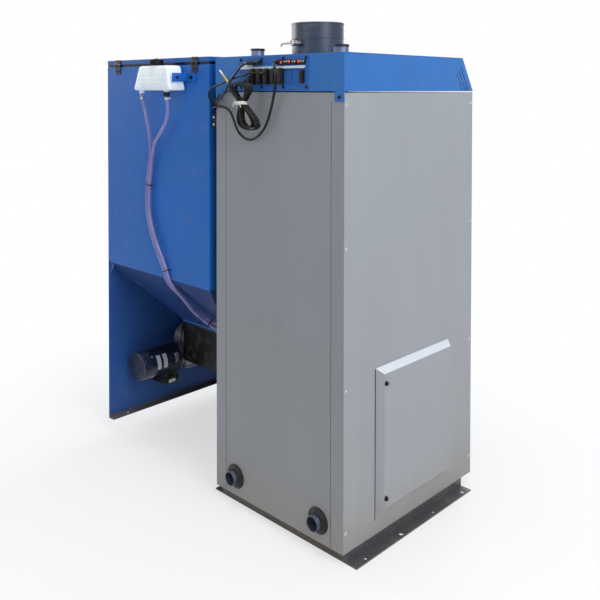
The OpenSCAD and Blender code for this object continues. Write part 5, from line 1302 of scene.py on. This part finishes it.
class BOILER_OT_controller(BoilerStep, bpy.types.Operator):
    """Control panel with its display, buttons, knob and main switch"""
    bl_idname = "boiler.controller"
    bl_label = "Controller"

    def execute(self, context):
        coat(black(), "controller_panel", "controller_knob")
        coat(display_glass("window"), "display_window")
        coat(plain_plastic("red_plastic", "lamp"), "main_switch")
        slope = math.atan2(103, 60)
        face = spun((MIDDLE, FRONT + 30, (HOOD_BOTTOM + HOOD_TOP) / 2), slope, "X")
        out = face.to_3x3() @ Vector(UP)
        frame = Shape().prism(rounded_frame(120, 42, 7), 1.2, face @ Matrix.Translation((0, 0, 2.3)), 0.5)
        frame.piece("controller_bezel", soft_black())
        buttons = Shape()
        for k in range(4):
            spot = face @ Matrix.Translation((-33 + 22 * k, -33.5, 2.8))
            buttons.prism(rounded_frame(7, 3.4, 2.4), 1.8, spot, 0.5)
        buttons.piece("controller_buttons", pale_plate("grey_panel", "button", 150, 154, 160))
        bars = Shape()
        for k, tall in enumerate((8, 13, 18, 24, 20, 15)):
            bars.block((-40 + 9 * k, -16, 2.55), (-34 + 9 * k, -16 + tall, 2.75), 0, face)
        for x, low, high in ((42, 10, 13), (36, 3, 6), (40, -4, -1), (42, -16, -9)):
            bars.block((22, low, 2.55), (x, high, 2.75), 0, face)
        bars.piece("display_bars", pale_plate("window", "segment", 34, 44, 50))
        marks = Shape()
        for k in range(13):
            a = math.radians(-135 + 22.5 * k)
            turn = face @ spun((76, 0, 3.3), -a)
            marks.block((-0.45, 18.4, 0), (0.45, 22.2 if k % 3 == 0 else 20.6, 0.35), 0, turn)
        marks.block((-0.6, -4, 0), (0.6, 4, 0.35), 0, face @ Matrix.Translation((-94, 17, 3.3)))
        marks.ring(washer(2.2, 3.2, 0.35), face @ Vector((-94, -18.5, 3.3)), 28, out)
        marks.piece("panel_marks", print_white())
        cap = Shape().turned(head(11.2, 0.5, 10.4, 1.1, 1.3), face @ Vector((76, 0, 19.8)), 40, out)
        cap.piece("knob_cap", bare_metal("black_plastic", "knob_cap", 120, 124, 130, 0.3), body="knob")
        pointer = Shape().block((-0.7, 3, 20.9), (0.7, 10.6, 21.35), 0.15,
            face @ Matrix.Translation((76, 0, 0)))
        pointer.piece("knob_pointer", print_white(), body="knob")
        screws = Shape()
        for x in (-114, 114):
            for y in (-36, 36):
                screws.turned(head(2.6, 0.6, 1.9, 1.1, 1.2), face @ Vector((x, y, 2.9)), 20, out)
        screws.piece("panel_corner_screws", zinc_plate())
        return {"FINISHED"}


def rounded_frame(half_x, half_y, r, steps=5):
    """The outline of a rectangle with round corners."""
    line = []
    for quarter, (sx, sy) in enumerate(((1, 1), (-1, 1), (-1, -1), (1, -1))):
        for k in range(steps + 1):
            a = math.radians(90 * quarter + 90 * k / steps)
            line.append((sx * (half_x - r) + r * math.cos(a), sy * (half_y - r) + r * math.sin(a)))
    return line


class BOILER_OT_hopper(BoilerStep, bpy.types.Operator):
    """Hopper box, skirt, lid, seal and lid hinges"""
    bl_idname = "boiler.hopper"
    bl_label = "Hopper"

    def execute(self, context):
        blue = powder_coat("blue_hopper", "hopper")
        coat(blue, "hopper_body")
        coat(powder_coat("blue_hopper", "skirt"), "hopper_skirt")
        coat(powder_coat("blue_hopper", "lid"), "hopper_lid")
        coat(cable_sheath("rubber_seal", "rubber"), "lid_seal")
        coat(dark_paint(), "hopper_brackets")
        coat(black_paint("black_paint", 26), "lid_hinge_base", "lid_hinge_leaf")
        folds = Shape()
        lower = (722.5, -400), (972.5, -400), (972.5, -220), (722.5, -220)
        upper = (555, FRONT), (1140, FRONT), (1140, 0), (555, 0)
        for (a, b), (c, d) in zip(lower, upper):
            inward = Vector((847.5 - c, -310 - d, 0)).normalized() * 1.2
            start, end = Vector((a, b, 372)) + inward, Vector((c, d, 597)) + inward
            folds.tube([start.lerp(end, t) for t in (0.02, 0.35, 0.7, 0.985)], 1.8, 8)
        folds.outline([(x, y, 598) for x, y in ((556.6, -618.4), (1138.4, -618.4), (1138.4, -1.6),
            (556.6, -1.6))], 1.5)
        folds.piece("hopper_folds", blue)
        flange = Shape()
        for x, y in ((1124, -70), (1124, -540), (570, FRONT + 16), (1100, FRONT + 16)):
            flange.hexagon((x, y, 22), 11, 5.2)
        flange.piece("skirt_bolts", zinc_plate())
        pins, screws = Shape(), Shape()
        for x in (626.5, 1068.5):
            for dx, out in ((14.6, RIGHT), (-14.6, LEFT)):
                pins.turned([(0, 0), (2.6, 0), (2.9, 0.5), (2.9, 1.3), (0, 1.3)], (x + dx, 5, 1315), 18, out)
            for dx in (-8, 8):
                screws.turned(head(3, 0.5, 2.2, 1.5, 1.7), (x + dx, 2.5, 1292), 20, BACK)
        pins.piece("hinge_pins", steel())
        screws.piece("hinge_screws", blackened())
        self.lid_grip()
        return {"FINISHED"}

    @staticmethod
    def lid_grip():
        """A folded rim on the lid and the pull on its front."""
        rim = Shape().outline([(x, y, 1315.8) for x, y in (
            (556.2, FRONT + 1.2), (1138.8, FRONT + 1.2), (1138.8, -1.2), (556.2, -1.2))], 1.1)
        rim.piece("lid_rim", powder_coat("blue_hopper", "lid"), body="lid")
        pull = Shape().tube(curve_through([(x, y, 1322) for x, y in (
            (790, -619.5), (790, -636), (794, -646), (806, -650), (847, -650.5), (889, -650), (901, -646),
            (905, -636), (905, -619.5))], 5), 5, 14)
        pull.piece("lid_pull", black(), body="lid")


class BOILER_OT_tank(BoilerStep, bpy.types.Operator):
    """Water tank with its cap, strap and outlets"""
    bl_idname = "boiler.tank"
    bl_label = "Water tank"

    def execute(self, context):
        coat(powder_coat("blue_hopper", "hopper"), "tank_bracket")
        tank = Shape()
        verts = bmesh.ops.create_cube(tank.mesh, size=1)["verts"]
        for v in verts:
            top = v.co.z > 0
            half = 78 if top else 102
            v.co = Vector((TANK_X + math.copysign(half, v.co.x), (64 if top else 70) if v.co.y > 0 else 5,
                           TANK_TOP if top else 1224))
        tank.rounded(verts, 9, 5)
        tank.ring([(13, -3), (17.2, -3), (17.2, 2.4), (19.4, 2.6), (19.4, 4.4), (17.2, 4.6), (16, 5),
            (16, 13), (13, 13)], (TANK_X, 46.5, 1300), 40)
        for x in (721, 860):
            tank.ring([(5.4, 0), (8, 0), (8.4, 8), (11, 12), (5.4, 12)], (x, 42, 1214), 32)
        tank.piece("tank_shell", milky_plastic(), replaced=("water_tank",), angle=60)
        seam = Shape().outline([(TANK_X + x, y, z) for x, y, z in (
            (-101.2, 36, 1236), (-79.5, 34, 1293), (-70, 33.6, 1303.4), (70, 33.6, 1303.4), (79.5, 34, 1293),
            (101.2, 36, 1236), (94, 36.6, 1224.8), (-94, 36.6, 1224.8))], 0.9)
        for z in (1238, 1250, 1262):
            seam.block((690, 68.6, z), (848, 70, z + 2.4), 0.7)
        seam.piece("tank_seam", milky_plastic(), angle=60)
        self.cap()
        self.strap()
        self.outlets()
        return {"FINISHED"}

    @staticmethod
    def cap():
        """A ribbed screw cap with a raised hub."""
        cap = Shape().turned([(16.2, 0), (20.2, 0), (20.8, 0.8), (20.8, 17.4), (19.4, 19.4), (17, 20),
            (8, 20.2), (6.6, 20.6), (6, 22.4), (5, 23), (0, 23), (0, 20), (15, 8.2), (16.2, 8.2)], CAP_AT, 72)
        for a in round_circle(36, 0):
            cap.block((20, -1.0, 0.6), (22.4, 1.0, 17.8), 0.45, spun(CAP_AT, a), steps=1)
        cap.piece("cap_shell", black(), body="cap", replaced=("tank_cap",), angle=40)

    @staticmethod
    def strap():
        """The strap's bent end with its bolt and washer."""
        bolt = Shape().hexagon((640, 5, 1266), 9, 4.4, BACK)
        bolt.ring(washer(4, 6.6, 1), (640, 4.4, 1266), 28, BACK)
        bolt.hexagon((662, 44, 1266), 8, 3.6, LEFT)
        bolt.piece("strap_bolt", blackened())
        strap = Shape().block((662.6, 0, 1252), (666.9, 61, 1280), 1.4)
        strap.piece("strap_end", powder_coat("blue_hopper", "hopper"))

    @staticmethod
    def outlets():
        """The screwed fitting on the outlet beside the strap."""
        wide = Shape().hexagon((721, 42, 1204), 19, 8, bore=6)
        wide.ring([(6, 0), (10.6, 0), (11.4, 1), (11.4, 5), (10.4, 6), (6, 6)], (721, 42, 1212.6), 36)
        wide.piece("outlet_fitting", blackened(), angle=40)


class BOILER_OT_feeder(BoilerStep, bpy.types.Operator):
    """Screw trough, worm gearbox, motor with its box, and the fire valve"""
    bl_idname = "boiler.feeder"
    bl_label = "Feeder"

    def execute(self, context):
        coat(black_paint("black_paint", 12), "feeder_box")
        coat(raw_plate("body_steel", "screw", 112, 116, 122), "feed_screw")
        coat(cast_aluminium(), "gearbox_housing")
        coat(bare_metal("bronze", "bronze", 181, 140, 74, 0.3), "worm_wheel")
        coat(satin_paint("motor_paint", "motor"), "motor_body")
        coat(steel(), "motor_rotor")
        coat(black(), "motor_box")
        coat(brass(), "fire_valve")
        self.gearbox()
        self.motor()
        self.terminal_box()
        self.valve()
        self.trough()
        return {"FINISHED"}

    @staticmethod
    def gearbox():
        """Ribs, a bolted side cover, bearing caps and plugs on the casting."""
        sides = (1015.5, -1), (1095.5, 1)
        body = Shape()
        for x, out in sides:
            body.ring([(13, 0), (44, 0), (44, 2.2), (42, 3.4), (20, 3.4), (18.5, 6), (13, 6)],
                (x - out * 0.5, SCREW_Y, BURNER_Z), 56, (out, 0, 0))
            for a in round_circle(8):
                spot = (x - out * 0.3, SCREW_Y + 38 * math.cos(a), BURNER_Z + 38 * math.sin(a))
                body.turned(disc(4.4, 4.4), spot, 16, (out, 0, 0))
        for k in range(5):
            x = 1027 + 14 * k
            body.prism(arc_outline(51, 55.5, 20, 160), 3.2,
                Matrix.Translation((x, SCREW_Y, BURNER_Z)) @ ACROSS, 0.8)
        for y in (-361, -348, -272, -259):
            body.block((1022, y - 1.8, 176), (1089, y + 1.8, 214), 1)
        body.ring(collar(16, 33, 2.4, 31, 4), (MOTOR_X, -367.6, MOTOR_Z), 48, AHEAD)
        body.block((1016, -352, 166), (1095, -268, 171), 1.6)
        body.piece("gearbox_ribs", cast_aluminium(), angle=40)
        bolts = Shape()
        for x, out in sides:
            for a in round_circle(8):
                at = (x + out * 3.9, SCREW_Y + 38 * math.cos(a), BURNER_Z + 38 * math.sin(a))
                bolts.turned([(0, 0), (3.7, 0), (3.7, 3.2), (3.1, 3.9), (2, 3.9), (2, 1.4), (0, 1.2)],
                    at, 18, (out, 0, 0))
        for a in round_circle(4):
            bolts.hexagon((MOTOR_X + 34 * math.cos(a), -248.2, MOTOR_Z + 34 * math.sin(a)), 9, 5, AHEAD)
        bolts.hexagon((1032, -330, 313), 13, 6)
        bolts.turned(head(10.5, 3, 9, 4), (MOTOR_X, -286, 312), 24)
        bolts.hexagon((1030, -357, 190), 12, 5, AHEAD)
        bolts.piece("gearbox_bolts", zinc_plate())

    @staticmethod
    def motor():
        """Cooling fins, the fan cover's grille and screws, two blank foils and two pale stripes."""
        paint = satin_paint("motor_paint", "motor")
        fins = Shape()
        shaft = (MOTOR_X, 0, MOTOR_Z)
        for a in round_circle(26, 0):
            under_box = -2.35 < ((a + math.pi) % math.tau) - math.pi < -0.8
            if not under_box:
                fins.block((48.5, -231, -1.1), (52.6, -119, 1.1), 0.5, spun(shaft, -a, "Y"), steps=1)
        for y, r in ((-236, 51.6), (-121, 51.8)):
            fins.ring([(44, 0), (r - 1.5, 0), (r, 1.2), (r, 5.4), (r - 1.5, 6.6), (44, 6.6)],
                (MOTOR_X, y, MOTOR_Z), 64, BACK)
        fins.piece("motor_fins", paint, angle=40)
        cover = Shape().ring([(52.02, -114), (52.6, -113), (52.6, -73), (51.4, -69.4),
            (48, -66.4), (44, -65.6), (44, -66.4), (47.4, -67.4), (50.4, -70), (51.2, -73.4),
            (51.2, -114)], shaft, 72, BACK)
        for r in (9, 17, 25, 33, 41):
            cover.ring([(r - 1.1, -66), (r + 1.1, -66), (r + 1.1, -64.8), (r - 1.1, -64.8)], shaft, 56, BACK)
        for a in round_circle(12, 0):
            cover.block((8, -66.1, -1.2), (45, -64.9, 1.2), 0.3, spun(shaft, a, "Y"), steps=1)
        cover.turned(head(8.4, 1.2, 6, 2), (MOTOR_X, -66.2, MOTOR_Z), 40, BACK)
        cover.piece("fan_grille", paint, angle=40)
        foils, stripe = Shape(), Shape()
        for shape, low, high, y, long in (
                (foils, -12, 44, -120, 16), (foils, -12, 44, -147, 17),
                (stripe, -4, 34, -200, 3.4), (stripe, -4, 34, -209, 3.4)):
            left = Matrix(((-1, 0, 0, MOTOR_X), (0, 0, -1, y), (0, 1, 0, MOTOR_Z), (0, 0, 0, 1)))
            shape.prism(arc_outline(MOTOR_RADIUS + 1, MOTOR_RADIUS + 1.5, low, high), long, left, 0.1)
        foils.piece("motor_foils", pale_plate("white_screw", "foil", 214, 220, 230))
        stripe.piece("motor_stripes", pale_plate("white_screw", "foil_light", 206, 212, 220))
        screws = Shape()
        for a in round_circle(4):
            out = Vector((math.cos(a), 0, math.sin(a)))
            screws.turned(head(3.4, 0.8, 2.4, 2, 2.2), Vector((MOTOR_X, -105, MOTOR_Z)) + 52.4 * out, 18, out)
        screws.piece("cover_screws", zinc_plate())

    @staticmethod
    def terminal_box():
        """The motor's terminal box: lid, screws, blank plate and cable gland."""
        box = Shape().block((1013.5, -222, 130), (1097.5, -158, 149), 3)
        box.block((1012.5, -223, 148), (1098.5, -157, 152), 1.2)
        box.piece("terminal_box", black())
        plate = Shape().block((1012.9, -206, 134.5), (1013.8, -176, 146.5), 0.3)
        plate.piece("box_plate", blank_label())
        gland = Shape().hexagon((1015.5, -190, 156), 15, 4, LEFT, bore=2.6)
        gland.ring([(2.6, 3.8), (6, 3.8), (6, 6), (4.6, 8.6), (2.6, 9)], (1015.5, -190, 156), 24, LEFT)
        for x in (1020, 1091):
            for y in (-216, -164):
                gland.turned(head(2.6, 1, 1.8, 1.8), (x, y, 151.8), 16)
        gland.piece("box_gland", soft_black())

    @staticmethod
    def valve():
        """Hexagons, the head's adjusting cap and the capillary that runs to the feed tube."""
        hexes = Shape()
        x, y = VALVE_X, SCREW_Y
        for z, across, thick in ((315, 34, 12), (344, 36, 12), (421, 36, 10)):
            hexes.hexagon((x, y, z), across, thick)
        for z in (402, 374):
            hexes.hexagon((x, -288, z), 20, 9, BACK)
            for k in range(4):
                hexes.ring([(6.4, 0), (7.6, 0.4), (6.6, 3.6), (6.2, 3.8)], (x, -262 + 4.4 * k, z), 24, BACK)
        hexes.piece("valve_hexagons", brass())
        dial = Shape().turned([(0, 0), (14.6, 0), (16.6, 2), (16.6, 22), (14.4, 26),
            (0, 27)], (x, y, 431), 40)
        for a in round_circle(20, 0):
            dial.block((15.6, -1.1, 3), (17.4, 1.1, 21), 0.4, spun((x, y, 431), a), steps=1)
        dial.piece("valve_head", black(), angle=40)
        line = curve_through([(616, -326, 428), (617, -334, 424), (624, -342, 410), (640, -346, 388),
            (668, -344, 362), (700, -340, 346), (716, -332, 340), (722, -326, 330), (722, -322, 318),
            (722, -318, 308)], 4)
        wire = Shape().tube(line, 1.5, 10)
        wire.turned(head(5, 6, 3.6, 8), (722, -318, 305), 20)
        wire.piece("capillary", bare_metal("bronze", "copper", 214, 118, 62, 0.3))

    @staticmethod
    def trough():
        """Flange bolts, weld beads and the tube's collar."""
        bolts = Shape()
        for x in (722, 785, 847.5, 910, 973):
            for y in (-403, -217):
                bolts.hexagon((x, y + (3.4 if y < -300 else -3.4), 373), 9, 4.4)
        bolts.piece("flange_bolts", zinc_plate())
        beads = Shape()
        for y in (-375.2, -244.8):
            beads.tube([(733 + 4 * k, y, 359.6 - 0.4 * (k % 2)) for k in range(70)], 1.9, 8)
        beads.ring([(48, 0), (51, 0.8), (50.4, 3), (48, 3.6)], (728.6, SCREW_Y, BURNER_Z), 64, RIGHT)
        beads.ring(collar(47.9, 57, 6, 55.6, 7.4), (520.4, SCREW_Y, BURNER_Z), 64, RIGHT)
        beads.piece("trough_beads", black_paint("black_paint", 12), angle=50)


def arc_outline(inner, outer, start, end, steps=20):
    """The outline of a bowed strip between two radii, angles in degrees."""
    turns = [math.radians(start + (end - start) * k / steps) for k in range(steps + 1)]
    return [(outer * math.cos(a), outer * math.sin(a)) for a in turns] + \
           [(inner * math.cos(a), inner * math.sin(a)) for a in reversed(turns)]


class BOILER_OT_blower(BoilerStep, bpy.types.Operator):
    """Burner, and the blower with its trim and bolts"""
    bl_idname = "boiler.blower"
    bl_label = "Blower"

    def execute(self, context):
        coat(burnt_steel("burner_steel"), "burner")
        coat(dark_paint(), "blower_housing")
        coat(steel(), "blower_impeller")
        trim = Shape()
        for y, out in ((-340, AHEAD), (-280, BACK)):
            trim.ring(collar(70.4, 73.4, 2, 72.4, 2.8), (BLOWER_X, y, BLOWER_Z), 64, out)
        trim.ring(collar(33, 38, 1.6, 36, 2.6), (BLOWER_X, -280, BLOWER_Z), 48, BACK)
        for k in range(7):
            trim.ring(washer(39.6, 41.4, 2), (BLOWER_X, -352 - 6.6 * k, BLOWER_Z), 40, AHEAD)
        for r in (12, 20, 28):
            trim.ring(washer(r - 0.8, r + 0.8, 1.6), (BLOWER_X, -279.9, BLOWER_Z), 40, BACK)
        for a in round_circle(6, 0):
            spoke = spun((BLOWER_X, 0, BLOWER_Z), a, "Y")
            trim.block((6, -280, -0.9), (34, -278.3, 0.9), 0.2, spoke, steps=1)
        trim.piece("blower_trim", dark_paint(), angle=40)
        bolts = Shape()
        for a in round_circle(6):
            for y, out in ((-342.6, AHEAD), (-277.4, BACK)):
                bolts.hexagon((BLOWER_X + 64 * math.cos(a), y, BLOWER_Z + 64 * math.sin(a)), 8, 3.6, out)
        bolts.piece("blower_bolts", zinc_plate())
        return {"FINISHED"}


class BOILER_OT_base(BoilerStep, bpy.types.Operator):
    """Steel angles with their weld beads"""
    bl_idname = "boiler.base"
    bl_label = "Base"

    def execute(self, context):
        paint = hammered_paint("base_steel", "base")
        coat(paint, "base_frame")
        beads = Shape()
        for x, side in ((9.4, 1), (510.6, -1)):
            for y in (-24, -576):
                inward = 0.7 if y < -300 else -0.7
                beads.tube([(x + side * 0.8 + 0.35 * (z % 2), y + inward, z)
                    for z in range(-30, 4, 3)], 2.2, 8)
        beads.piece("base_beads", paint, angle=60)
        return {"FINISHED"}


class BOILER_PT_panel(bpy.types.Panel):
    """The boiler's steps, colours and sizes in the sidebar"""
    bl_label = "Pellet boiler"
    bl_idname = "BOILER_PT_panel"
    bl_space_type = "VIEW_3D"
    bl_region_type = "UI"
    bl_category = "Boiler"

    def draw(self, context):
        for step in STEPS:
            self.layout.operator(step.bl_idname)
        for group in (context.scene.boiler_colours, context.scene.boiler_sizes):
            column = self.layout.column(align=True)
            for name in group.__annotations__:
                column.prop(group, name)


STEPS = (BOILER_OT_stage, BOILER_OT_cables, BOILER_OT_hoses, BOILER_OT_casing, BOILER_OT_hood,
         BOILER_OT_socket_plate, BOILER_OT_water_pipes, BOILER_OT_flue, BOILER_OT_doors, BOILER_OT_controller,
         BOILER_OT_hopper, BOILER_OT_tank, BOILER_OT_feeder, BOILER_OT_blower, BOILER_OT_base)
CLASSES = (BoilerColours, BoilerSizes, *STEPS, BOILER_PT_panel)


def register():
    for kind in CLASSES:
        bpy.utils.register_class(kind)
    bpy.types.Scene.boiler_colours = PointerProperty(type=BoilerColours)
    bpy.types.Scene.boiler_sizes = PointerProperty(type=BoilerSizes)


def unregister():
    del bpy.types.Scene.boiler_colours, bpy.types.Scene.boiler_sizes
    for kind in reversed(CLASSES):
        bpy.utils.unregister_class(kind)


def main():
    register()
    for step in STEPS:
        group, name = step.bl_idname.split(".")
        if getattr(getattr(bpy.ops, group), name)() != {"FINISHED"}:
            raise RuntimeError("the step " + name + " did not finish")


if __name__ == "__main__":
    main()
